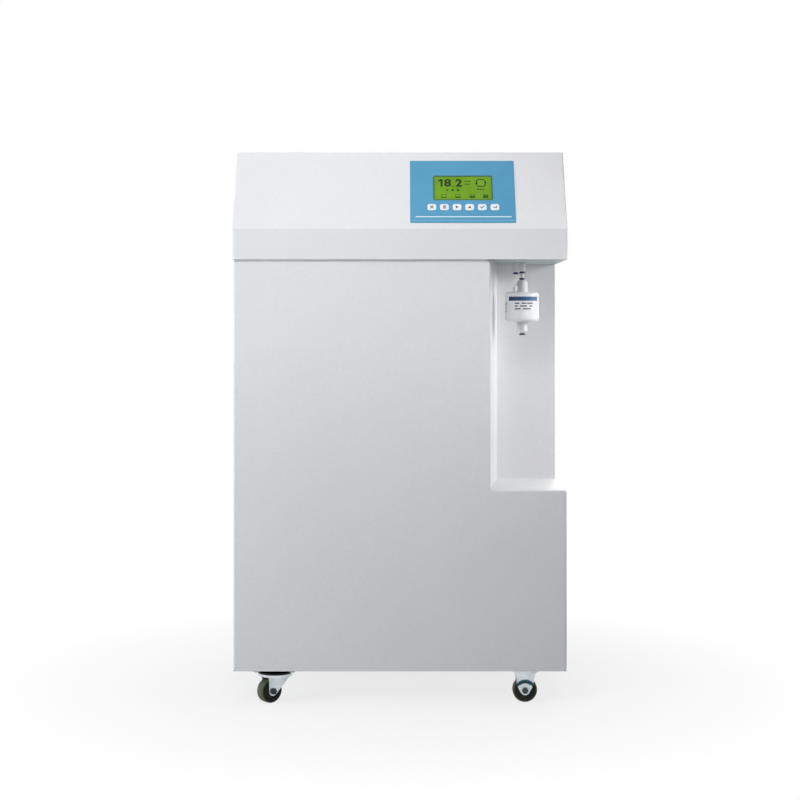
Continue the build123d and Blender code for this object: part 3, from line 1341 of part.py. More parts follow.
def make_pieces():
    """Every piece by its node name."""
    pieces = {
        "base_pan": base_pan(),
        "left_side_panel": left_side_panel(),
        "right_side_panel": right_side_panel(),
        "rear_panel": rear_panel(),
        "bay_liner": bay_liner(),
        "mounting_plate": mounting_plate(),
        "front_door": front_door(),
        "door_hinge_bushes": door_hinge_bushes(),
        "door_hinge_pins": door_hinge_pins(),
        "door_catches": door_catches(),
        "head_cover": head_cover(),
        "top_deck": top_deck(),
        "keypad_overlay": keypad_overlay(),
        "display_module": display_module(),
        "control_board": control_board(),
        "filtered_outlet_fitting": Pos(X_FILTERED, Y_FILTERED, Z_MOUTH) * push_fitting(True),
        "plain_outlet_fitting": Pos(X_PLAIN, Y_PLAIN, Z_MOUTH) * push_fitting(True),
        "filtered_outlet_collet": Pos(X_FILTERED, Y_FILTERED, Z_MOUTH) * collet(True),
        "plain_outlet_collet": Pos(X_PLAIN, Y_PLAIN, Z_MOUTH) * collet(True),
        "filter_feed_tube": filter_feed_tube(),
        "filter_inlet_fitting": filter_inlet_fitting(),
        "filter_inlet_collet": Pos(X_FILTERED, Y_FILTERED, Z_INLET) * collet(False),
        "filter_capsule": filter_capsule(),
        "filter_outlet_fitting": filter_outlet_fitting(),
        "filter_outlet_collet": Pos(X_FILTERED, Y_FILTERED, Z_NOZZLE) * collet(True),
        "power_inlet": power_inlet(),
        "power_rocker": power_rocker(),
        "membrane_vessel": membrane_vessel(),
        "cartridge_clips": cartridge_clips(),
        "booster_pump": booster_pump(),
        "inlet_valve": inlet_valve(),
        "power_supply": power_supply(),
        "internal_tubing": internal_tubing(),
    }
    pieces.update({f"key_{name}": key(x) for name, x in zip(KEY_NAMES, KEY_PLACES)})
    pieces.update({f"{name}_fitting": rear_fitting(x, z) for name, (x, z) in rear_fitting_places().items()})
    names = ("sediment_cartridge", "carbon_cartridge", "deioniser_cartridge", "polishing_cartridge")
    pieces.update({name: Pos(x, Y_COLUMN, 0) * column_body() for name, x in zip(names, COLUMN_PLACES)})
    pieces.update(casters())
    return pieces


def main():
    os.makedirs("parts", exist_ok=True)
    for name, piece in make_pieces().items():
        export_step(piece, f"parts/{name}.step")


if __name__ == "__main__":
    main()
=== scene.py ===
import bmesh
import bpy
import json
import math
from mathutils import Matrix, Vector


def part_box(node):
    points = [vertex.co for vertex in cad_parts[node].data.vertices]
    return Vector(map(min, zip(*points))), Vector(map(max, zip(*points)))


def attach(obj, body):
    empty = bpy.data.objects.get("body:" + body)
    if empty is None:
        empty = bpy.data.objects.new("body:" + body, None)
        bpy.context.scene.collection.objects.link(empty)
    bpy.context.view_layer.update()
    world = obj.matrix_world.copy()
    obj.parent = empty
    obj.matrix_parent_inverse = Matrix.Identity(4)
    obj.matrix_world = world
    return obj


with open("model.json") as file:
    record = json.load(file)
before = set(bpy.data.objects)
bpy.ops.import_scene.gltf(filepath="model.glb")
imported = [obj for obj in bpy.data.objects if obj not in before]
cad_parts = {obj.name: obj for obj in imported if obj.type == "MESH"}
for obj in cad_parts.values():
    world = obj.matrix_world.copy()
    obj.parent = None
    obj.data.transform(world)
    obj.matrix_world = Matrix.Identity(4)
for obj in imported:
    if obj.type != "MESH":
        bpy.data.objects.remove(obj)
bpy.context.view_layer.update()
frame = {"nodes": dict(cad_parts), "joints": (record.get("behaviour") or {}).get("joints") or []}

# Finishes, printed marks, labels and small fasteners of the laboratory water purifier.
# Metres. X to the right, Y to the rear, Z up. Colours are 8-bit display steps. Scales are counts per metre.

# Display curve, from 8-bit steps to linear light
WHITE_STEP = 255
TOE_SHARE = 0.04045
TOE_SLOPE = 12.92
CURVE_SHIFT = 0.055
CURVE_POWER = 2.4
WHITE = (255, 255, 255)

# Directions, angles in degrees and steps round a corner
ORIGIN = (0.0, 0.0, 0.0)
ACROSS = (1.0, 0.0, 0.0)
UP = (0.0, 0.0, 1.0)
DOWN = (0.0, 0.0, -1.0)
QUARTER_TURN = 90
FULL_TURN = 360
CORNER_STEPS = 6

# Noise: its detail, the part of its range that tones and gloss follow, and how dark a plain print drifts
PLAIN_DETAIL = 2.0
FINE_DETAIL = 3.0
NOISE_SHARES = (0.3, 0.7)
DRIFT_SHARE = 0.96

# Camera, where the photograph was taken from
CAMERA_BACK = 2.945
CAMERA_UP = 0.6314
CAMERA_LENS_MM = 72.36
CAMERA_SENSOR_MM = 36.0
CAMERA_SHIFT_SHARE = -0.0875

# Studio: each lamp's place, what it looks at, its side, its power, its spread in degrees and its colour
LAMPS = {
    "key": ((-0.7, -1.5, 1.7), (-0.05, -0.2, 0.85), 0.8, 3.1, 80.0, (255, 253, 254)),
    "left": ((-1.6, -1.1, 0.6), (-0.2, -0.25, 0.45), 0.7, 7.0, 120.0, (246, 255, 254)),
    "slope": ((0.0, -1.8, 1.7), (0.0, -0.2, 0.87), 0.5, 0.3, 35.0, (255, 253, 254)),
    "bay": ((1.0, -0.3, 0.84), (0.2, -0.08, 0.54), 0.4, 0.68, 50.0, WHITE),
    "filter": ((0.8, -0.9, 0.9), (0.22, -0.12, 0.66), 0.3, 0.02, 20.0, WHITE),
    "top": ((0.1, 0.0, 2.6), (0.0, 0.0, 0.6), 1.6, 14.0, 180.0, WHITE),
    "rear": ((0.8, 2.4, 1.5), (0.0, 0.2, 0.5), 1.8, 34.0, 180.0, WHITE),
}
WORLD_TONE = (236, 240, 246)
WORLD_LIGHT = 0.045
FLOOR_SIDE = 14.0
FLOOR_TONE = (242, 242, 243)
FLOOR_ROUGHNESS = 0.9
FLOOR_GLOW_SHARE = 0.78
FLOOR_NEAR = 0.3
FLOOR_FAR = 0.75

# Powder coat
COAT_TONE = (235, 235, 237)
COAT_SHADE = (230, 231, 234)
DOOR_TONE = (235, 235, 238)
DOOR_SHADE = (229, 230, 234)
# Bay liner: a paler coat than the cabinet's, partly as painted light for the brightly lit bay
BAY_LIT_TONE = (242, 242, 244)
BAY_LIT_DARK = (237, 238, 240)
# Deck: a grey-green coat, darkened further as painted shade for its underside beneath the head
DECK_SHADED_TONE = (188, 195, 193)
DECK_SHADED_DARK = (180, 188, 186)
INNER_TONE = (196, 200, 203)
INNER_SHADE = (186, 191, 195)
COAT_BROAD = 3.0
COAT_GRAIN = 700.0
COAT_PEEL = 240.0
COAT_PEEL_DETAIL = 1.0
COAT_FLECK = (248, 248, 248)
COAT_FLECK_SHARES = (0.35, 0.6)
COAT_ROUGHNESS = (0.36, 0.5)
COAT_SHINE = 0.32
COAT_BUMP_SHARE = 0.16
COAT_BUMP = 0.0003

# Moulded plastics: light tone, dark tone, roughness range, grain scale and coat of gloss
PLASTICS = {
    "key": ((239, 242, 246), (230, 234, 240), (0.38, 0.5), 900.0, 0.0),
    "fitting": ((236, 238, 240), (226, 229, 233), (0.3, 0.42), 500.0, 0.1),
    "collet": ((36, 54, 98), (26, 42, 80), (0.32, 0.45), 600.0, 0.1),
    "capsule": ((244, 244, 246), (238, 239, 242), (0.32, 0.42), 1500.0, 0.1),
    "vent": ((248, 248, 249), (240, 242, 244), (0.25, 0.36), 1500.0, 0.2),
    "black": ((40, 41, 43), (29, 30, 32), (0.42, 0.6), 900.0, 0.0),
    "cartridge": ((234, 237, 240), (224, 228, 233), (0.28, 0.4), 160.0, 0.15),
    "board": ((44, 104, 66), (34, 86, 54), (0.35, 0.5), 1200.0, 0.1),
}
PLASTIC_PATCH_GRAINS = 6
PLASTIC_BUMP_SHARE = 0.06
PLASTIC_BUMP = 0.0002

# Membrane film of the control panel
FILM_TONE = (74, 152, 190)
FILM_SHADE = (66, 145, 184)
FILM_BROAD = 14.0
FILM_GRAIN = 1500.0
FILM_ROUGHNESS = (0.42, 0.55)
FILM_BUMP_SHARE = 0.1
FILM_BUMP = 0.0001

# Metals: light tone, dark tone, roughness range, stretch of the grain and its scale
METALS = {
    "zinc": ((220, 226, 229), (186, 194, 198), (0.24, 0.46), (1.0, 1.0, 1.0), 260.0),
    # Dark tone of the swivel caster plates
    "dark_plate": ((50, 56, 57), (30, 35, 36), (0.42, 0.6), (1.0, 1.0, 1.0), 300.0),
    "nut": ((74, 82, 86), (38, 44, 48), (0.25, 0.4), (1.0, 1.0, 1.0), 500.0),
    "cast": ((150, 152, 156), (122, 125, 129), (0.45, 0.62), (1.0, 1.0, 1.0), 420.0),
    "folded": ((206, 208, 210), (188, 191, 194), (0.3, 0.45), (0.04, 1.0, 1.0), 700.0),
    "screw": ((214, 217, 219), (182, 186, 190), (0.25, 0.4), (1.0, 1.0, 1.0), 900.0),
}
METAL_PATCH_GRAINS = 8
# Painted shade on metal faces that turn downwards: its darkness as a share of the dark tone, and the downward
# share at which it is full
METAL_UNDER_SHADE_SHARE = 0.32
METAL_UNDER_SHADE_FULL_SHARE = 0.8
METAL_BUMP_SHARE = 0.15
METAL_BUMP = 0.0002
SPANGLE = 170.0
SPANGLE_SHARE = 0.06

# Painted shade and painted reflection in the pressed step round the axle in a rigid caster's bracket
STEP_SHADE_TONE = (54, 82, 92)
STEP_NEAR = 0.0136
STEP_FAR = 0.0192
STEP_SOFT = 0.0008

# Bearing cup of a swivel caster's fork
CUP_TONE = (42, 48, 50)
CUP_UP = 0.0493
CUP_SOFT = 0.0002

# Rubber wheels
TREAD_TONE = (92, 96, 78)
TYRE_TONE = (26, 28, 20)
HUB_TONE = (58, 60, 56)
TREAD_FROM = 0.0172
TREAD_FULL = 0.0198
HUB_FROM = 0.0118
HUB_TO = 0.0132
RUBBER_GRAIN = 600.0
RUBBER_SHINE = 0.25
RUBBER_ROUGHNESS = (0.55, 0.8)
RUBBER_BUMP_SHARE = 0.3
RUBBER_BUMP = 0.0003
DUST_TONE = (118, 116, 104)
DUST_GRAIN = 60.0
DUST_DETAIL = 4.0
DUST_NOISE_SHARES = (0.5, 0.75)
DUST_SHARE = 0.35

# Natural polyethylene tube
TUBE_TONE = (238, 241, 244)
TUBE_SHADE = (222, 228, 234)
TUBE_BROAD = 40.0
TUBE_GRAIN = 220.0
TUBE_ROUGHNESS = (0.2, 0.34)
TUBE_GLOSS = 0.2

# Control panel on the slope
SLOPE_RUN = 0.080
SLOPE_RISE = 0.137
OVERLAY = 0.001
GLASS_RISE = 0.0004
HOOD_WALL = 0.002
DISPLAY_X = 0.001
DISPLAY_UP = 0.0073
DISPLAY_WIDTH = 0.101
DISPLAY_HEIGHT = 0.051
KEY_X = 0.001
KEY_UP = -0.0326
KEY_PITCH = 0.0213
KEY_PROUD = 0.0006
KEY_NAMES = ("escape", "menu", "right", "up", "confirm", "return")
PRINT = 0.00006
PRINT_GRAIN = 400.0
PRINT_ROUGHNESS = (0.45, 0.6)
RULE_TONE = (214, 232, 242)
RULE_WIDTH = 0.162
RULE_X = 0.001
RULE_UP = -0.052
RULE_HEIGHT = 0.0022
EDGE_TONE = (134, 190, 219)
EDGE_UP = -0.0592
EDGE_HEIGHT = 0.0009
EDGE_WIDTH = 0.176

# Display glass and its picture, from the middle of the glass
GLASS_TONE = (120, 172, 32)
GLASS_SHADE = (104, 152, 28)
GLASS_RIM_TONE = (66, 96, 44)
GLASS_RIM = 0.0022
GLASS_SOFT = 0.0016
GLASS_BROAD = 24.0
GLASS_GRAIN = 300.0
GLASS_ROUGHNESS = (0.16, 0.26)
GLASS_SHINE = 0.2
BEZEL_TONE = (34, 36, 34)
DOT_PITCH = 0.0008
DOT_HALF_SHARE = 0.5
DOT_NET_SHARE = 0.12
DOT_SHARE = 0.12
INK_TONE = (22, 42, 8)
INK_SHADE = (30, 54, 10)
INK_GRAIN = 500.0
FAINT_TONE = (46, 78, 16)
FAINT_SHADE = (54, 88, 18)
NUMERALS = (
    ("units", "8", (-0.0316, -0.0201), (0.0029, 0.0187)),
    ("tenths", "2", (-0.0124, -0.0013), (0.0029, 0.0187)),
)
ONE_X = -0.0416
ONE_UP = 0.0029
ONE_WIDTH = 0.0072
ONE_HEIGHT = 0.0158
ONE_SHARES = ((0.52, 0.0), (1.0, 0.0), (1.0, 1.0), (0.56, 1.0), (0.0, 0.82), (0.0, 0.62), (0.52, 0.76))
NUMERAL_WEIGHT = 0.035
POINT_X = -0.0166
POINT_UP = 0.0042
POINT_SIDE = 0.0022
UNIT_ROWS = (
    (0.0141, ((0.0028, 0.0072), (0.0082, 0.0136))),
    (0.0078, ((0.0036, 0.0062), (0.0070, 0.0112))),
)
UNIT_HEIGHT = 0.0022
MARK_PLACES = (-0.0268, -0.0176, -0.0085)
MARK_CORNERS = (3, 4, 5)
MARK_UP = -0.0042
MARK_SIZE = 0.0050
LOOP_X = 0.0307
LOOP_UP = 0.0106
LOOP_WIDTH = 0.0150
LOOP_HEIGHT = 0.0142
LOOP_CORNER = 0.0042
LOOP_LINE = 0.0017
LOOP_HEAD = 0.0048
LOOP_GAP_SHARE = 0.12
WORD_UP = -0.0026
WORD_HEIGHT = 0.0026
WORD_BARS = ((0.0238, 0.0284), (0.0292, 0.0322), (0.0330, 0.0362))
ICONS = (-0.0328, -0.0088, 0.0158, 0.0382)
ICON_UP = -0.0170
ICON_WIDTH = 0.0082
ICON_HEIGHT = 0.0064
ICON_LINE = 0.0008

# Key symbols, from the middle of each key
SYMBOL_TONE = (40, 48, 66)
SYMBOL_SHADE = (32, 40, 56)
SYMBOL_LINE = 0.0013
SYMBOL_HALF = 0.0028
SYMBOL_TALL = 0.0022
SYMBOL_DIP_SHARE = 1 / 3
SYMBOL_HEAD_SHARE = 1 / 4
SYMBOL_TIP_SHARE = 1 / 2

# Filter label, as angles from the front in degrees and heights above the capsule's foot
LABEL_TONE = (241, 242, 245)
LABEL_SHADE = (234, 236, 240)
LABEL_THICK = 0.00012
LABEL_STEP = 4.0
CAPSULE_BEAD = 0.001
FILTER_TURN = (-86.0, 58.0)
FILTER_LOW = 0.0105
FILTER_HIGH = 0.0435
BAND_TURN = (-56.0, 58.0)
BAND_LOW = 0.0360
BAND_HIGH = 0.0432
BAND_DARK = (10, 44, 84)
BAND_LIGHT = (46, 102, 148)
BAND_SPREAD = 0.024
BAND_GRAIN = 120.0
BAND_DRIFT_SHARE = 0.1
BAND_ROUGHNESS = (0.35, 0.5)
FILTER_ROWS = (
    (0.0316, ((-30.0, -14.0), (-6.0, 10.0), (13.0, 34.0))),
    (0.0268, ((-30.0, -19.0), (-11.0, 12.0), (22.0, 31.0))),
    (0.0220, ((-30.0, -10.0), (-2.0, 26.0))),
)
ROW_HEIGHT = 0.0021
SIDE_BARS = ((0.0160, 0.0208), (0.0222, 0.0262), (0.0276, 0.0330))
SIDE_TURN = (-82.0, -74.0)
LABEL_INK = (66, 70, 78)
LABEL_INK_SHADE = (86, 90, 98)

# Cartridge labels, as angles from the front and shares of the cartridge's height
CARTRIDGE_BANDS = {
    "sediment_cartridge": ((66, 122, 178), (48, 102, 160)),
    "carbon_cartridge": ((74, 78, 84), (56, 60, 66)),
    "deioniser_cartridge": ((86, 150, 108), (66, 130, 90)),
    "polishing_cartridge": ((126, 110, 166), (106, 90, 150)),
}
CARTRIDGE_BAND_GRAIN = 30.0
CARTRIDGE_STEP = 0.002
CARTRIDGE_TURN = (-62.0, 62.0)
CARTRIDGE_LOW_SHARE = 0.36
CARTRIDGE_HIGH_SHARE = 0.66
CARTRIDGE_BAND_SHARE = 0.72
CARTRIDGE_ROWS = (
    (0.60, ((-40.0, 30.0),)),
    (0.48, ((-40.0, 8.0), (14.0, 38.0))),
    (0.36, ((-40.0, 20.0),)),
    (0.24, ((-40.0, -4.0), (2.0, 34.0))),
)
CARTRIDGE_ROW = 0.005

# Screws of the rear panel and the head
SCREW_RADIUS = 0.0042
SCREW_HEIGHT = 0.0026
SCREW_SOCKET = 0.0015
SCREW_SOCKET_SIDES = 6
SCREW_SINK = 0.0013
SCREW_RIM_SHARE = 0.35
SCREW_DOME_SHARES = (0.8, 0.82)
SCREW_FACE_SHARE = 0.5
SCREW_SIDES = 24
SCREW_INSET = 0.014
SCREW_COLUMNS = 4
SCREW_ROWS = 5
HEAD_SCREW_UP = 0.03
HEAD_SCREW_COLUMNS = 3

# Gasket beads on the bends along the door's upper and lower edges
GASKET_TONE = (243, 243, 245)
GASKET_SHADE = (236, 237, 239)
GASKET_GRAIN = 1400.0
GASKET_ROUGHNESS = 0.9
GASKET_TURNS = (30.0, 42.0, 55.0, 68.0)
GASKET_RISE = 0.00095
GASKET_INSET = 0.004
GASKET_RIGHT = 0.1475
GASKET_BUMP_SHARE = 0.3
GASKET_BUMP = 0.0002
DOOR_BEND = 0.003

# Air vent on the capsule's shoulder: its place from the capsule's axis, and each ring's radius and height
VENT_X = -0.0122
VENT_Y = -0.0072
VENT_SIDES = 24
VENT_RINGS = (
    (0.0033, 0.0), (0.0033, 0.0014), (0.0023, 0.0018), (0.0023, 0.0036), (0.0033, 0.0042),
    (0.0034, 0.0090), (0.0030, 0.0103), (0.0016, 0.0108),
)

# Rocker marks
ROCKER_MARK_TONE = (226, 228, 228)
ROCKER_MARK_SHADE = (210, 213, 214)
ROCKER_TILT = 8.0
ROCKER_DISH = 0.0026
ROCKER_MARK_UP = 0.0050
ROCKER_MARK_HALF = 0.0019
ROCKER_MARK_LINE = 0.0008
ROCKER_RING_SIDES = 24


def linear(colour):
    """Linear light of an 8-bit display colour."""
    light = []
    for step in colour:
        share = step / WHITE_STEP
        curved = ((share + CURVE_SHIFT) / (1 + CURVE_SHIFT)) ** CURVE_POWER
        light.append(share / TOE_SLOPE if share <= TOE_SHARE else curved)
    return (*light, 1.0)


def tone_down(colour):
    """A slightly darker colour of the same hue."""
    return [step * DRIFT_SHARE for step in colour]


class Look:
    """A material put together node by node, from places on the resting object."""

    def __init__(self, name):
        self.material = bpy.data.materials.new(name)
        self.material.use_nodes = True
        self.tree = self.material.node_tree
        self.shader = self.tree.nodes["Principled BSDF"]
        self.place = self.node("ShaderNodeTexCoord", {}).outputs["Object"]

    def feed(self, socket, value):
        """Links a socket to another node's output, or gives it a plain value."""
        if isinstance(value, bpy.types.NodeSocket):
            self.tree.links.new(value, socket)
        else:
            socket.default_value = value

    def node(self, kind, inputs, **settings):
        """One node with its settings and inputs."""
        made = self.tree.nodes.new(kind)
        for name, value in settings.items():
            setattr(made, name, value)
        for name, value in inputs.items():
            self.feed(made.inputs[name], value)
        return made

    def put(self, **inputs):
        """Feeds the shader's own inputs, named with underscores."""
        for name, value in inputs.items():
            self.feed(self.shader.inputs[name.replace("_", " ")], value)

    def noise(self, scale, detail=PLAIN_DETAIL, stretch=None):
        """Soft noise over the object, from 0 to 1."""
        place = self.place
        if stretch:
            place = self.node("ShaderNodeMapping", {"Vector": place, "Scale": stretch}).outputs["Vector"]
        made = self.node("ShaderNodeTexNoise", {"Vector": place, "Scale": scale, "Detail": detail})
        return made.outputs["Fac"]

    def spread(self, value, low, high, to_low, to_high):
        """A value moved from one range to another, held at the ends."""
        inputs = {"Value": value, "From Min": low, "From Max": high, "To Min": to_low, "To Max": to_high}
        return self.node("ShaderNodeMapRange", inputs).outputs["Result"]

    def compute(self, operation, first, second):
        """One step of arithmetic."""
        made = self.node("ShaderNodeMath", {}, operation=operation)
        self.feed(made.inputs[0], first)
        self.feed(made.inputs[1], second)
        return made.outputs["Value"]

    def vector(self, operation, first, second, output):
        """One step of vector arithmetic."""
        made = self.node("ShaderNodeVectorMath", {}, operation=operation)
        self.feed(made.inputs[0], first)
        self.feed(made.inputs[1], second)
        return made.outputs[output]

    def along(self, origin, way):
        """How far a place is from an origin along a direction."""
        offset = self.vector("SUBTRACT", self.place, origin, "Vector")
        return self.vector("DOT_PRODUCT", offset, way, "Value")

    def reach(self, centre, axle):
        """How far a place is from an axle."""
        offset = self.vector("SUBTRACT", self.place, centre, "Vector")
        arm = self.vector("CROSS_PRODUCT", offset, axle, "Vector")
        return self.vector("LENGTH", arm, ORIGIN, "Value")

    def blend(self, share, first, second, kind="MIX"):
        """Two colours mixed by a share."""
        made = self.node("ShaderNodeMix", {}, data_type="RGBA", blend_type=kind)
        self.feed(made.inputs[0], share)
        self.feed(made.inputs[6], first)
        self.feed(made.inputs[7], second)
        return made.outputs[2]

    def bump(self, height, share, depth):
        """Raises the surface by a height."""
        inputs = {"Height": height, "Strength": share, "Distance": depth}
        self.put(Normal=self.node("ShaderNodeBump", inputs).outputs["Normal"])

    def mottled(self, tone, shade, scale):
        """A colour that drifts between two tones."""
        share = self.spread(self.noise(scale, FINE_DETAIL), *NOISE_SHARES, 0.0, 1.0)
        return self.blend(share, linear(shade), linear(tone))

    def roughness(self, limits, scale):
        """Gloss that varies over the surface."""
        self.put(Roughness=self.spread(self.noise(scale), *NOISE_SHARES, *limits))


def coat(name, tone, shade):
    """Powder coat: a fine grain over a soft orange peel."""
    look = Look(name)
    grain = look.noise(COAT_GRAIN, FINE_DETAIL)
    peel = look.noise(COAT_PEEL, COAT_PEEL_DETAIL)
    fleck = look.blend(look.spread(grain, *COAT_FLECK_SHARES, 0.0, 1.0), linear(COAT_FLECK), linear(WHITE))
    look.put(Base_Color=look.blend(1.0, look.mottled(tone, shade, COAT_BROAD), fleck, "MULTIPLY"))
    look.put(Specular_IOR_Level=COAT_SHINE)
    look.roughness(COAT_ROUGHNESS, COAT_PEEL)
    look.bump(look.compute("ADD", grain, peel), COAT_BUMP_SHARE, COAT_BUMP)
    return look.material


def plastic(name):
    """Moulded plastic with a fine spark-worn grain."""
    tone, shade, limits, grain, gloss = PLASTICS[name]
    look = Look(f"{name}_plastic")
    look.put(Base_Color=look.mottled(tone, shade, grain / PLASTIC_PATCH_GRAINS))
    look.put(Coat_Weight=gloss)
    look.roughness(limits, grain)
    look.bump(look.noise(grain), PLASTIC_BUMP_SHARE, PLASTIC_BUMP)
    return look.material


def film():
    """Printed membrane film with a fine matt grain."""
    look = Look("panel_film")
    look.put(Base_Color=look.mottled(FILM_TONE, FILM_SHADE, FILM_BROAD))
    look.roughness(FILM_ROUGHNESS, FILM_GRAIN)
    look.bump(look.noise(FILM_GRAIN), FILM_BUMP_SHARE, FILM_BUMP)
    return look.material


def metal(name, title=None, darkened=None):
    """Plated, cast or folded metal with its own grain, painted shade on faces that turn downwards, and a
    darker place where one is given.
    """
    tone, shade, limits, stretch, grain = METALS[name]
    look = Look(title or f"{name}_metal")
    cells = look.node("ShaderNodeTexVoronoi", {"Vector": look.place, "Scale": SPANGLE}).outputs["Color"]
    patches = look.mottled(tone, shade, grain / METAL_PATCH_GRAINS)
    tint = look.blend(SPANGLE_SHARE, patches, cells, "OVERLAY")
    normal = look.node("ShaderNodeNewGeometry", {}).outputs["Normal"]
    # Painted shade and painted reflection of a dark floor: faces that turn downwards blend towards a darker
    # tone.
    facing_down = look.vector("DOT_PRODUCT", normal, DOWN, "Value")
    under = look.spread(facing_down, 0.0, METAL_UNDER_SHADE_FULL_SHARE, 0.0, 1.0)
    under_shade_tone = [part * METAL_UNDER_SHADE_SHARE for part in linear(shade)]
    tint = look.blend(under, tint, under_shade_tone)
    if darkened:
        tint = darkened(look, tint)
    look.put(Base_Color=tint)
    look.put(Metallic=1.0)
    grains = look.noise(grain, FINE_DETAIL, stretch)
    look.put(Roughness=look.spread(grains, *NOISE_SHARES, *limits))
    look.bump(grains, METAL_BUMP_SHARE, METAL_BUMP)
    return look.material


def bracket_metal(name, centre, axle):
    """Zinc of a rigid caster's bracket, with painted shade in the pressed step round the axle."""

    def darkened(look, tint):
        # Painted shade: a dark band over the step round the axle, for the dark surroundings it would mirror.
        radius = look.reach(centre, axle)
        rise = look.spread(radius, STEP_NEAR - STEP_SOFT, STEP_NEAR + STEP_SOFT, 0.0, 1.0)
        fall = look.spread(radius, STEP_FAR - STEP_SOFT, STEP_FAR + STEP_SOFT, 1.0, 0.0)
        return look.blend(look.compute("MINIMUM", rise, fall), tint, linear(STEP_SHADE_TONE))

    return metal("zinc", name, darkened)


def fork_metal(name):
    """Zinc of a swivel caster's fork, dark round the top of its bearing cup."""

    def darkened(look, tint):
        height = look.along((0.0, 0.0, CUP_UP), UP)
        return look.blend(look.spread(height, -CUP_SOFT, CUP_SOFT, 0.0, 1.0), tint, linear(CUP_TONE))

    return metal("zinc", name, darkened)


def rubber(name, centre, axle):
    """Tyre with a dusty tread, dark sides and a plain hub, told apart by the distance from the axle."""
    look = Look(name)
    radius = look.reach(centre, axle)
    grain = look.noise(RUBBER_GRAIN, FINE_DETAIL)
    dust = look.spread(look.noise(DUST_GRAIN, DUST_DETAIL), *DUST_NOISE_SHARES, 0.0, DUST_SHARE)
    tread = look.blend(dust, linear(TREAD_TONE), linear(DUST_TONE))
    sides = look.blend(look.spread(radius, HUB_FROM, HUB_TO, 0.0, 1.0), linear(HUB_TONE), linear(TYRE_TONE))
    look.put(Base_Color=look.blend(look.spread(radius, TREAD_FROM, TREAD_FULL, 0.0, 1.0), sides, tread))
    look.put(Roughness=look.spread(grain, *NOISE_SHARES, *RUBBER_ROUGHNESS))
    look.put(Specular_IOR_Level=RUBBER_SHINE)
    look.bump(grain, RUBBER_BUMP_SHARE, RUBBER_BUMP)
    return look.material


def tubing():
    """Milky tube with a smooth drawn surface."""
    look = Look("tube_natural")
    look.put(Base_Color=look.mottled(TUBE_TONE, TUBE_SHADE, TUBE_BROAD))
    look.put(Coat_Weight=TUBE_GLOSS)
    look.roughness(TUBE_ROUGHNESS, TUBE_GRAIN)
    return look.material


def gasket():
    """Matt foamed rubber."""
    look = Look("gasket")
    look.put(Base_Color=look.mottled(GASKET_TONE, GASKET_SHADE, GASKET_GRAIN))
    look.put(Roughness=GASKET_ROUGHNESS)
    look.bump(look.noise(GASKET_GRAIN), GASKET_BUMP_SHARE, GASKET_BUMP)
    return look.material


def printed(name, tone, shade, grain=PRINT_GRAIN):
    """Ink or paper with a slight drift of tone."""
    look = Look(name)
    look.put(Base_Color=look.mottled(tone, shade, grain))
    look.roughness(PRINT_ROUGHNESS, grain)
    return look.material


def band_print(name, centre_x):
    """Label band that runs from a dark to a light blue across the label."""
    look = Look(name)
    across = look.along((centre_x, 0.0, 0.0), ACROSS)
    drift = look.spread(look.noise(BAND_GRAIN), 0.0, 1.0, -BAND_DRIFT_SHARE, BAND_DRIFT_SHARE)
    share = look.compute("ADD", look.spread(across, -BAND_SPREAD, BAND_SPREAD, 0.0, 1.0), drift)
    look.put(Base_Color=look.blend(share, linear(BAND_DARK), linear(BAND_LIGHT)))
    look.roughness(BAND_ROUGHNESS, PRINT_GRAIN)
    return look.material


def dots(look, panel):
    """The fine net between the display's picture dots, from 0 to 1."""
    nets = []
    for way in (panel.col[0], panel.col[1]):
        place = look.compute("DIVIDE", look.along(panel.translation, way.xyz), DOT_PITCH)
        inside = look.compute("PINGPONG", place, DOT_HALF_SHARE)
        nets.append(look.spread(inside, 0.0, DOT_NET_SHARE, 1.0, 0.0))
    return look.compute("MAXIMUM", *nets)


def display_glass(panel):
    """Lit green glass with a darker rim and a net of dots, in a black bezel."""
    look = Look("display_glass")
    rims = []
    for way, middle, size in ((0, DISPLAY_X, DISPLAY_WIDTH), (1, DISPLAY_UP, DISPLAY_HEIGHT)):
        place = look.compute("SUBTRACT", look.along(panel.translation, panel.col[way].xyz), middle)
        place = look.compute("ABSOLUTE", place, 0.0)
        edge = size / 2 - GLASS_RIM
        rims.append(look.spread(place, edge - GLASS_SOFT, edge + GLASS_SOFT, 0.0, 1.0))
    lit = look.mottled(GLASS_TONE, GLASS_SHADE, GLASS_BROAD)
    lit = look.blend(look.compute("MULTIPLY", dots(look, panel), DOT_SHARE), lit, linear(GLASS_RIM_TONE))
    lit = look.blend(look.compute("MAXIMUM", *rims), lit, linear(GLASS_RIM_TONE))
    depth = look.along(panel.translation, panel.col[2].xyz)
    face = look.spread(depth, -HOOD_WALL, -HOOD_WALL / 2, 0.0, 1.0)
    look.put(Base_Color=look.blend(face, linear(BEZEL_TONE), lit))
    look.put(Specular_IOR_Level=GLASS_SHINE)
    look.roughness(GLASS_ROUGHNESS, GLASS_GRAIN)
    return look.material


def display_ink(name, tone, shade, panel):
    """Dark picture dots on the glass."""
    look = Look(name)
    dark = look.mottled(tone, shade, INK_GRAIN)
    net = look.compute("MULTIPLY", dots(look, panel), DOT_SHARE)
    look.put(Base_Color=look.blend(net, dark, linear(GLASS_SHADE)))
    look.put(Specular_IOR_Level=GLASS_SHINE)
    look.roughness(GLASS_ROUGHNESS, GLASS_GRAIN)
    return look.material


def dress(node, material):
    """Gives a solid its finish."""
    for slot in frame["nodes"][node].material_slots:
        slot.material = material


def piece(name, mesh, material, body):
    """A new piece that moves with a body."""
    mesh.materials.append(material)
    made = bpy.data.objects.new(name, mesh)
    bpy.context.scene.collection.objects.link(made)
    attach(made, body)


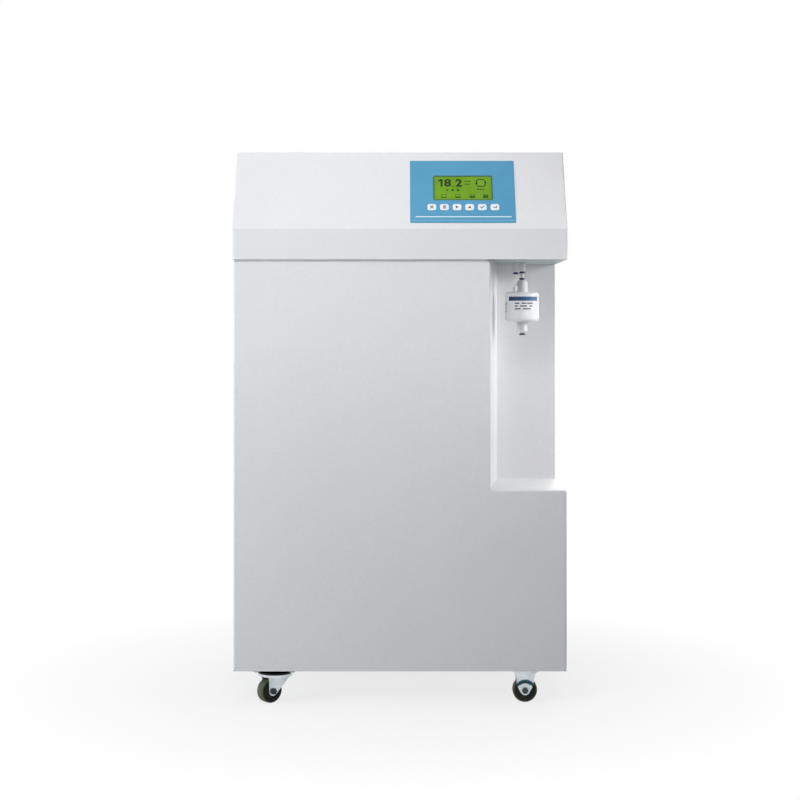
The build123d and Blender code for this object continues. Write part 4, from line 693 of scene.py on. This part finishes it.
def finished(name, shape):
    """Mesh of a drawn shape, with its faces turned outwards."""
    bmesh.ops.recalc_face_normals(shape, faces=shape.faces)
    mesh = bpy.data.meshes.new(name)
    shape.to_mesh(mesh)
    shape.free()
    return mesh


def skin(shape, rings):
    """Faces from ring to ring of points, with lids unless the last ring is the first one again."""
    for near, far in zip(rings, rings[1:]):
        for i in range(len(near)):
            shape.faces.new((near[i - 1], near[i], far[i], far[i - 1]))
    if rings[0] != rings[-1]:
        shape.faces.new(rings[0])
        shape.faces.new(rings[-1])


def prisms(name, outlines, place, low, high):
    """Flat outlines raised between two heights over a plane."""
    shape = bmesh.new()
    for outline in outlines:
        skin(shape, [[shape.verts.new(place @ Vector((x, y, z))) for x, y in outline] for z in (low, high)])
    return finished(name, shape)


def bar(x0, x1, y0, y1):
    """Outline of a rectangle."""
    return [(x0, y0), (x1, y0), (x1, y1), (x0, y1)]


def box_at(x, y, width, height):
    """Outline of a rectangle about its middle."""
    return bar(x - width / 2, x + width / 2, y - height / 2, y + height / 2)


def stroke(points, width, closed=False):
    """Outlines of the short bars along a line of points."""
    line = [Vector(point) for point in points]
    if closed:
        line.append(line[0])
    bars = []
    for start, end in zip(line, line[1:]):
        along = (end - start).normalized() * width / 2
        side = Vector((-along.y, along.x))
        bars.append([start - along - side, end + along - side, end + along + side, start - along + side])
    return bars


def arc(x, y, radius, start, end, steps):
    """Points along an arc, in degrees."""
    turns = [math.radians(start + (end - start) * i / steps) for i in range(steps + 1)]
    return [(x + radius * math.cos(turn), y + radius * math.sin(turn)) for turn in turns]


def rounded(x, y, width, height, corner):
    """Points round a rectangle with round corners."""
    points = []
    for i, (side, up) in enumerate(((1, 1), (-1, 1), (-1, -1), (1, -1))):
        middle = (x + side * (width / 2 - corner), y + up * (height / 2 - corner))
        points += arc(*middle, corner, QUARTER_TURN * i, QUARTER_TURN * (i + 1), CORNER_STEPS)
    return points


def hoop(name, radius, width, sides, place, high):
    """Flat ring raised over a plane."""
    near = radius - width / 2
    far = radius + width / 2
    corners = [(near, 0), (far, 0), (far, high), (near, high)]
    shape = bmesh.new()
    sections = []
    for i in range(sides):
        turn = 2 * math.pi * i / sides
        way = Vector((math.cos(turn), math.sin(turn), 0))
        sections.append([shape.verts.new(place @ (way * r + Vector((0, 0, z)))) for r, z in corners])
    skin(shape, sections + sections[:1])
    return finished(name, shape)


def text_shape(name, text):
    """Flat faces of plain numerals, at the font's own size."""
    curve = bpy.data.curves.new(name, "FONT")
    curve.body = text
    curve.offset = NUMERAL_WEIGHT
    drawn = bpy.data.objects.new(name, curve)
    bpy.context.scene.collection.objects.link(drawn)
    bpy.context.view_layer.update()
    flat = drawn.evaluated_get(bpy.context.evaluated_depsgraph_get())
    mesh = bpy.data.meshes.new_from_object(flat)
    shape = bmesh.new()
    shape.from_mesh(mesh)
    bpy.data.objects.remove(drawn)
    bpy.data.meshes.remove(mesh)
    return shape


def numeral(name, text, across, up, place, lift):
    """Plain numerals drawn to fill a rectangle on a plane and raised over it."""
    shape = text_shape(name, text)
    xs = [corner.co.x for corner in shape.verts]
    ys = [corner.co.y for corner in shape.verts]
    wide = (across[1] - across[0]) / (max(xs) - min(xs))
    tall = (up[1] - up[0]) / (max(ys) - min(ys))
    for corner in shape.verts:
        corner.co = (across[0] + (corner.co.x - min(xs)) * wide, up[0] + (corner.co.y - min(ys)) * tall, 0)
    rim = [edge.verts[:] for edge in shape.edges if edge.is_boundary]
    raised = {corner: shape.verts.new((corner.co.x, corner.co.y, lift)) for corner in shape.verts[:]}
    for face in shape.faces[:]:
        shape.faces.new([raised[corner] for corner in face.verts])
    for near, far in rim:
        shape.faces.new((near, far, raised[far], raised[near]))
    shape.transform(place)
    return finished(name, shape)


def panel_place():
    """The control panel's plane: X across, Y up the slope and Z out of it."""
    across = Vector((1, 0, 0))
    up = Vector((0, SLOPE_RUN, SLOPE_RISE)).normalized()
    out = across.cross(up)
    low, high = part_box("keypad_overlay")
    origin = (low + high) / 2 - out * OVERLAY / 2
    return Matrix.Translation(origin) @ Matrix((across, up, out)).transposed().to_4x4()


def loop_arrows():
    """Outlines of two arrows that chase each other round a loop."""
    ring = rounded(LOOP_X, LOOP_UP, LOOP_WIDTH, LOOP_HEIGHT, LOOP_CORNER)
    gap = round(LOOP_GAP_SHARE * len(ring))
    half = len(ring) // 2
    outlines = []
    for start, way in ((0, -1), (half, 1)):
        x = LOOP_X + way * LOOP_WIDTH / 2
        outlines += stroke(ring[start + gap:start + half] + [(x, LOOP_UP)], LOOP_LINE)
        tip = (x, LOOP_UP + way * LOOP_HEAD)
        outlines.append([(x - LOOP_HEAD / 2, LOOP_UP), (x + LOOP_HEAD / 2, LOOP_UP), tip])
    return outlines


def dark_signs():
    """Outlines of the display's dark signs: a point, the numeral 1, three marks and the loop."""
    outlines = [box_at(POINT_X, POINT_UP, POINT_SIDE, POINT_SIDE)]
    outlines.append([(ONE_X + x * ONE_WIDTH, ONE_UP + y * ONE_HEIGHT) for x, y in ONE_SHARES])
    for x, corners in zip(MARK_PLACES, MARK_CORNERS):
        last = QUARTER_TURN + FULL_TURN - FULL_TURN / corners
        outlines.append(arc(x, MARK_UP, MARK_SIZE / 2, QUARTER_TURN, last, corners - 1))
    return outlines + loop_arrows()


def faint_bars():
    """Outlines of the display's faint bars: a row under the loop, rows of units, and boxes part filled."""
    outlines = [bar(x0, x1, WORD_UP - WORD_HEIGHT / 2, WORD_UP + WORD_HEIGHT / 2) for x0, x1 in WORD_BARS]
    for up, bars in UNIT_ROWS:
        outlines += [bar(x0, x1, up - UNIT_HEIGHT / 2, up + UNIT_HEIGHT / 2) for x0, x1 in bars]
    for i, x in enumerate(ICONS):
        outlines += stroke(box_at(x, ICON_UP, ICON_WIDTH, ICON_HEIGHT), ICON_LINE, True)
        level = ICON_UP - ICON_HEIGHT / 2 + (i + 1) * ICON_HEIGHT / (len(ICONS) + 1)
        outlines.append(bar(x - ICON_WIDTH / 2, x + ICON_WIDTH / 2, ICON_UP - ICON_HEIGHT / 2, level))
    return outlines


def display_picture(panel):
    """The numbers and plain signs on the display."""
    ink = display_ink("display_ink", INK_TONE, INK_SHADE, panel)
    faint = display_ink("display_faint", FAINT_TONE, FAINT_SHADE, panel)
    glass = panel @ Matrix.Translation((DISPLAY_X, DISPLAY_UP, GLASS_RISE))
    for name, text, across, up in NUMERALS:
        mesh = numeral(f"display_{name}", text, across, up, glass, PRINT)
        piece(f"display_{name}", mesh, ink, "cabinet")
    signs = prisms("display_signs", dark_signs(), glass, 0, PRINT)
    piece("display_signs", signs, ink, "cabinet")
    bars = prisms("display_bars", faint_bars(), glass, 0, PRINT)
    piece("display_bars", bars, faint, "cabinet")


def key_signs():
    """Outlines of the sign on each key: a cross, bars, two arrowheads, a tick and a return arrow."""
    half = SYMBOL_HALF
    tall = SYMBOL_TALL
    line = SYMBOL_LINE
    dip_x = -half * SYMBOL_DIP_SHARE
    dip = -tall * SYMBOL_DIP_SHARE
    head_x = -half * SYMBOL_HEAD_SHARE
    return {
        "escape": stroke([(-tall, -tall), (tall, tall)], line) + stroke([(-tall, tall), (tall, -tall)], line),
        "menu": [box_at(0, up, 2 * half, line) for up in (-tall, 0, tall)],
        "right": [[(-tall, -half), (half, 0), (-tall, half)]],
        "up": [[(-half, -tall), (half, -tall), (0, half)]],
        "confirm": stroke([(-half, 0), (dip_x, -tall), (half, tall)], line),
        "return": stroke([(half, tall), (half, dip), (dip_x, dip)], line)
        + [[(-half, dip), (head_x, tall * SYMBOL_TIP_SHARE), (head_x, -tall)]],
    }


def key_symbols(panel):
    """A plain sign on each key, riding on its key."""
    ink = printed("symbol_ink", SYMBOL_TONE, SYMBOL_SHADE)
    signs = key_signs()
    for i, name in enumerate(KEY_NAMES):
        x = KEY_X + (i - (len(KEY_NAMES) - 1) / 2) * KEY_PITCH
        top = panel @ Matrix.Translation((x, KEY_UP, OVERLAY + KEY_PROUD))
        mesh = prisms(f"symbol_{name}", signs[name], top, 0, PRINT)
        piece(f"symbol_{name}", mesh, ink, f"key_{name}")


def panel_rules(panel):
    """Pale printed lines along the foot of the panel film."""
    film_top = panel @ Matrix.Translation((0, 0, OVERLAY))
    for name, tone, x, up, width, height in (
        ("panel_rule", RULE_TONE, RULE_X, RULE_UP, RULE_WIDTH, RULE_HEIGHT),
        ("panel_edge_line", EDGE_TONE, 0, EDGE_UP, EDGE_WIDTH, EDGE_HEIGHT),
    ):
        mesh = prisms(name, [box_at(x, up, width, height)], film_top, 0, PRINT)
        piece(name, mesh, printed(f"{name}_ink", tone, tone_down(tone)), "cabinet")


def wrapped(name, sheets, centre, radius, thick):
    """Thin sheets bent round an upright cylinder, each between two angles and two heights."""
    shape = bmesh.new()
    for (start, end), low, high in sheets:
        steps = max(1, math.ceil((end - start) / LABEL_STEP))
        rings = []
        for i in range(steps + 1):
            turn = math.radians(start + (end - start) * i / steps)
            out = Vector((math.sin(turn), -math.cos(turn), 0))
            corners = [(radius, low), (radius + thick, low), (radius + thick, high), (radius, high)]
            rings.append([shape.verts.new(centre + out * r + Vector((0, 0, z))) for r, z in corners])
        skin(shape, rings)
    return finished(name, shape)


def upright_axis(node):
    """The foot of a turned node's axis, its height and half its width."""
    low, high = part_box(node)
    return Vector(((low.x + high.x) / 2, (low.y + high.y) / 2, low.z)), high.z - low.z, (high.x - low.x) / 2


def filter_label(paper, ink):
    """The capsule's label: white paper with a blue band and plain bars."""
    foot, _, widest = upright_axis("filter_capsule")
    radius = widest - CAPSULE_BEAD
    sheet = wrapped("filter_label", [(FILTER_TURN, FILTER_LOW, FILTER_HIGH)], foot, radius, LABEL_THICK)
    piece("filter_label", sheet, paper, "filter")
    radius += LABEL_THICK
    band = wrapped("filter_band", [(BAND_TURN, BAND_LOW, BAND_HIGH)], foot, radius, LABEL_THICK)
    piece("filter_band", band, band_print("band_ink", foot.x), "filter")
    bars = [(turn, up - ROW_HEIGHT / 2, up + ROW_HEIGHT / 2) for up, turns in FILTER_ROWS for turn in turns]
    bars += [(SIDE_TURN, low, high) for low, high in SIDE_BARS]
    rows = wrapped("filter_bars", bars, foot, radius, LABEL_THICK)
    piece("filter_bars", rows, ink, "filter")


def cartridge_labels(paper, ink):
    """A label on each cartridge: a coloured band and plain bars."""
    for node, (tone, shade) in CARTRIDGE_BANDS.items():
        foot, height, widest = upright_axis(node)
        radius = widest - CARTRIDGE_STEP
        low = CARTRIDGE_LOW_SHARE * height
        high = CARTRIDGE_HIGH_SHARE * height
        split = low + CARTRIDGE_BAND_SHARE * (high - low)
        name = node.replace("_cartridge", "")
        sheet = wrapped(f"{name}_label", [(CARTRIDGE_TURN, low, high)], foot, radius, LABEL_THICK)
        piece(f"{name}_label", sheet, paper, "cabinet")
        radius += LABEL_THICK
        band = wrapped(f"{name}_band", [(CARTRIDGE_TURN, split, high)], foot, radius, LABEL_THICK)
        colour = printed(f"{name}_ink", tone, shade, CARTRIDGE_BAND_GRAIN)
        piece(f"{name}_band", band, colour, "cabinet")
        bars = []
        for share, turns in CARTRIDGE_ROWS:
            up = low + share * (high - low)
            bars += [(turn, up - CARTRIDGE_ROW / 2, up + CARTRIDGE_ROW / 2) for turn in turns]
        rows = wrapped(f"{name}_bars", bars, foot, radius, LABEL_THICK)
        piece(f"{name}_bars", rows, ink, "cabinet")


def screw_head(shape, place):
    """Domed screw head with a hexagon socket, facing the rear."""
    dome_out, dome_up = SCREW_DOME_SHARES
    profile = [
        (SCREW_RADIUS, 0.0),
        (SCREW_RADIUS, SCREW_RIM_SHARE * SCREW_HEIGHT),
        (dome_out * SCREW_RADIUS, dome_up * SCREW_HEIGHT),
        (SCREW_FACE_SHARE * SCREW_RADIUS, SCREW_HEIGHT),
        (None, SCREW_HEIGHT),
        (None, SCREW_HEIGHT - SCREW_SINK),
    ]
    rings = []
    for radius, height in profile:
        ring = []
        for i in range(SCREW_SIDES):
            turn = 2 * math.pi * i / SCREW_SIDES
            flat = turn % (2 * math.pi / SCREW_SOCKET_SIDES) - math.pi / SCREW_SOCKET_SIDES
            reach = radius or SCREW_SOCKET / math.cos(flat)
            corner = Vector((reach * math.cos(turn), height, reach * math.sin(turn)))
            ring.append(shape.verts.new(place + corner))
        rings.append(ring)
    skin(shape, rings)


def even(low, high, count):
    """Evenly spaced places from one end to the other."""
    return [low + (high - low) * i / (count - 1) for i in range(count)]


def rear_screws(material):
    """Screws round the rear panel and along the head's rear edge."""
    low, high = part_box("rear_panel")
    xs = even(low.x + SCREW_INSET, high.x - SCREW_INSET, SCREW_COLUMNS)
    zs = even(low.z + SCREW_INSET, high.z - SCREW_INSET, SCREW_ROWS)
    places = [(x, z) for x in xs for z in zs if x in (xs[0], xs[-1]) or z in (zs[0], zs[-1])]
    shape = bmesh.new()
    for x, z in places:
        screw_head(shape, Vector((x, high.y, z)))
    piece("rear_panel_screws", finished("rear_panel_screws", shape), material, "cabinet")
    low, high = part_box("head_cover")
    shape = bmesh.new()
    for x in even(low.x + SCREW_INSET, high.x - SCREW_INSET, HEAD_SCREW_COLUMNS):
        screw_head(shape, Vector((x, high.y, low.z + HEAD_SCREW_UP)))
    piece("head_screws", finished("head_screws", shape), material, "cabinet")


def rocker_half(valley, lean, way):
    """Plane on one half of the rocker's face, at its mark: Y away from the valley and Z out of the face."""
    along = way * Vector((0, math.sin(lean), math.cos(lean)))
    out = Vector((0, math.cos(lean), -math.sin(lean)))
    place = Matrix((along.cross(out), along, out)).transposed().to_4x4()
    place.translation = valley + along * ROCKER_MARK_UP
    return place


def rocker_marks():
    """A line and a ring on the two halves of the rocker's dished face."""
    ink = printed("rocker_ink", ROCKER_MARK_TONE, ROCKER_MARK_SHADE)
    pivot = next(Vector(joint["pos_m"]) for joint in frame["joints"] if joint["name"] == "power_switch")
    tilt = math.radians(ROCKER_TILT)
    valley = pivot + ROCKER_DISH * Vector((0, math.cos(tilt), -math.sin(tilt)))
    line = stroke([(0, -ROCKER_MARK_HALF), (0, ROCKER_MARK_HALF)], ROCKER_MARK_LINE)
    upper = prisms("rocker_line", line, rocker_half(valley, 2 * tilt, 1), 0, PRINT)
    lower_place = rocker_half(valley, 0, -1)
    lower = hoop("rocker_ring", ROCKER_MARK_HALF, ROCKER_MARK_LINE, ROCKER_RING_SIDES, lower_place, PRINT)
    piece("rocker_line", upper, ink, "rocker")
    piece("rocker_ring", lower, ink, "rocker")


def door_gaskets(material):
    """Gasket beads that fill the grooves over and under the door."""
    low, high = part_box("front_door")
    lengthwise = Matrix(((0, 0, 1), (1, 0, 0), (0, 1, 0))).to_4x4()
    edges = (("top", high.z, 1, GASKET_RIGHT), ("foot", low.z, -1, high.x - GASKET_INSET))
    for name, edge, way, right in edges:
        section = []
        for degrees in GASKET_TURNS:
            turn = math.radians(degrees)
            y = low.y + DOOR_BEND * (1 - math.cos(turn))
            section.append((y, edge - way * DOOR_BEND * (1 - math.sin(turn))))
        section += [(y, edge + way * GASKET_RISE) for y in (section[-1][0], section[0][0])]
        mesh = prisms(f"door_{name}_gasket", [section], lengthwise, low.x + GASKET_INSET, right)
        piece(f"door_{name}_gasket", mesh, material, "door")


def filter_vent(material):
    """Air vent beside the capsule's inlet: a stem with a round cap."""
    low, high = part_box("filter_capsule")
    place = Vector(((low.x + high.x) / 2 + VENT_X, (low.y + high.y) / 2 + VENT_Y, high.z))
    turns = [2 * math.pi * i / VENT_SIDES for i in range(VENT_SIDES)]
    shape = bmesh.new()
    rings = []
    for radius, height in VENT_RINGS:
        corners = [Vector((radius * math.cos(turn), radius * math.sin(turn), height)) for turn in turns]
        rings.append([shape.verts.new(place + corner) for corner in corners])
    skin(shape, rings)
    piece("filter_vent", finished("filter_vent", shape), material, "filter")


def camera():
    """Level camera with its frame shifted down, as in the photograph."""
    lens = bpy.data.cameras.new("camera")
    lens.lens = CAMERA_LENS_MM
    lens.sensor_width = CAMERA_SENSOR_MM
    lens.shift_y = CAMERA_SHIFT_SHARE
    made = bpy.data.objects.new("camera", lens)
    made.location = (0, -CAMERA_BACK, CAMERA_UP)
    made.rotation_euler = (math.pi / 2, 0, 0)
    bpy.context.scene.collection.objects.link(made)
    bpy.context.scene.camera = made


def lamps():
    """Soft square lamps."""
    for name, (place, target, side, power, spread, tone) in LAMPS.items():
        lamp = bpy.data.lights.new(f"{name}_lamp", "AREA")
        lamp.size = side
        lamp.energy = power
        lamp.color = linear(tone)[:3]
        lamp.spread = math.radians(spread)
        made = bpy.data.objects.new(f"{name}_lamp", lamp)
        made.location = place
        made.rotation_euler = (Vector(target) - Vector(place)).to_track_quat("-Z", "Y").to_euler()
        bpy.context.scene.collection.objects.link(made)


def seen(tree):
    """One where the surroundings are looked at, straight, mirrored or through glass."""
    path = tree.nodes.new("ShaderNodeLightPath")
    share = path.outputs["Is Camera Ray"]
    for name in ("Is Glossy Ray", "Is Transmission Ray"):
        most = tree.nodes.new("ShaderNodeMath")
        most.operation = "MAXIMUM"
        tree.links.new(share, most.inputs[0])
        tree.links.new(path.outputs[name], most.inputs[1])
        share = most.outputs["Value"]
    return share


def surroundings():
    """Even pale light, seen as plain white."""
    world = bpy.data.worlds.new("studio")
    bpy.context.scene.world = world
    world.use_nodes = True
    tree = world.node_tree
    light = tree.nodes["Background"]
    light.inputs["Color"].default_value = linear(WORLD_TONE)
    light.inputs["Strength"].default_value = WORLD_LIGHT
    white = tree.nodes.new("ShaderNodeBackground")
    white.inputs["Color"].default_value = linear(WHITE)
    mixed = tree.nodes.new("ShaderNodeMixShader")
    tree.links.new(seen(tree), mixed.inputs[0])
    tree.links.new(light.outputs[0], mixed.inputs[1])
    tree.links.new(white.outputs[0], mixed.inputs[2])
    tree.links.new(mixed.outputs[0], tree.nodes["World Output"].inputs["Surface"])


def floor_paint():
    """Pale paint that keeps the shadow near the object and fades to white away from it."""
    look = Look("floor")
    look.put(Base_Color=linear(FLOOR_TONE))
    look.put(Roughness=FLOOR_ROUGHNESS)
    look.put(Specular_IOR_Level=0.0)
    distance = look.vector("LENGTH", look.place, ORIGIN, "Value")
    glow = look.spread(distance, FLOOR_NEAR, FLOOR_FAR, FLOOR_GLOW_SHARE, 1.0)
    share = look.compute("MULTIPLY", glow, seen(look.tree))
    white = look.node("ShaderNodeEmission", {"Color": linear(WHITE), "Strength": 1.0})
    mixed = look.node("ShaderNodeMixShader", {})
    look.feed(mixed.inputs[0], share)
    look.feed(mixed.inputs[1], look.shader.outputs["BSDF"])
    look.feed(mixed.inputs[2], white.outputs["Emission"])
    look.feed(look.tree.nodes["Material Output"].inputs["Surface"], mixed.outputs[0])
    return look.material


def floor():
    """The floor under the object."""
    shape = bmesh.new()
    bmesh.ops.create_grid(shape, x_segments=1, y_segments=1, size=FLOOR_SIDE / 2)
    mesh = finished("floor", shape)
    mesh.materials.append(floor_paint())
    made = bpy.data.objects.new("floor", mesh)
    bpy.context.scene.collection.objects.link(made)


def dress_solids(panel):
    """Finishes of the solids."""
    looks = {
        coat("cabinet_coat", COAT_TONE, COAT_SHADE): (
            "base_pan", "left_side_panel", "right_side_panel", "rear_panel", "head_cover",
        ),
        # The deck's coat carries painted shade for its underside.
        coat("deck_shaded_coat", DECK_SHADED_TONE, DECK_SHADED_DARK): ("top_deck",),
        coat("door_coat", DOOR_TONE, DOOR_SHADE): ("front_door",),
        # The bay liner's coat is partly painted light.
        coat("bay_lit_coat", BAY_LIT_TONE, BAY_LIT_DARK): ("bay_liner",),
        coat("inner_coat", INNER_TONE, INNER_SHADE): ("mounting_plate",),
        film(): ("keypad_overlay",),
        display_glass(panel): ("display_module",),
        plastic("board"): ("control_board",),
        plastic("key"): tuple(f"key_{name}" for name in KEY_NAMES),
        plastic("fitting"): (
            "filtered_outlet_fitting", "plain_outlet_fitting", "filter_inlet_fitting",
            "filter_outlet_fitting", "feed_fitting", "drain_fitting", "tank_fitting", "door_hinge_bushes",
        ),
        plastic("collet"): (
            "filtered_outlet_collet", "plain_outlet_collet", "filter_inlet_collet", "filter_outlet_collet",
        ),
        plastic("capsule"): ("filter_capsule",),
        tubing(): ("filter_feed_tube", "internal_tubing"),
        plastic("black"): ("power_inlet", "power_rocker", "door_catches", "cartridge_clips"),
        plastic("cartridge"): (*CARTRIDGE_BANDS, "membrane_vessel"),
        metal("cast"): ("booster_pump", "inlet_valve"),
        metal("folded"): ("power_supply",),
        metal("zinc"): ("door_hinge_pins", "caster_bolts"),
        fork_metal("fork_zinc"): ("front_left_caster_fork", "rear_left_caster_fork"),
        metal("dark_plate"): ("front_left_caster_plate", "rear_left_caster_plate"),
        metal("nut"): ("front_left_caster_axle", "rear_left_caster_axle", "right_caster_axles"),
    }
    for material, nodes in looks.items():
        for node in nodes:
            dress(node, material)
    for joint in frame["joints"]:
        if joint["name"].endswith("_roll"):
            node = joint["child"].replace("_wheel", "_caster_wheel")
            low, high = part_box(node)
            dress(node, rubber(f"{node}_rubber", (low + high) / 2, joint["axis"]))
            bracket = node.replace("_wheel", "_bracket")
            if bracket in frame["nodes"]:
                dress(bracket, bracket_metal(f"{bracket}_zinc", (low + high) / 2, joint["axis"]))


panel = panel_place()
dress_solids(panel)
display_picture(panel)
key_symbols(panel)
panel_rules(panel)
paper = printed("label_paper", LABEL_TONE, LABEL_SHADE)
label_ink = printed("label_ink", LABEL_INK, LABEL_INK_SHADE)
filter_label(paper, label_ink)
cartridge_labels(paper, label_ink)
rear_screws(metal("screw"))
door_gaskets(gasket())
filter_vent(plastic("vent"))
rocker_marks()
camera()
lamps()
surroundings()
floor()
bpy.context.scene.view_settings.view_transform = "Standard"
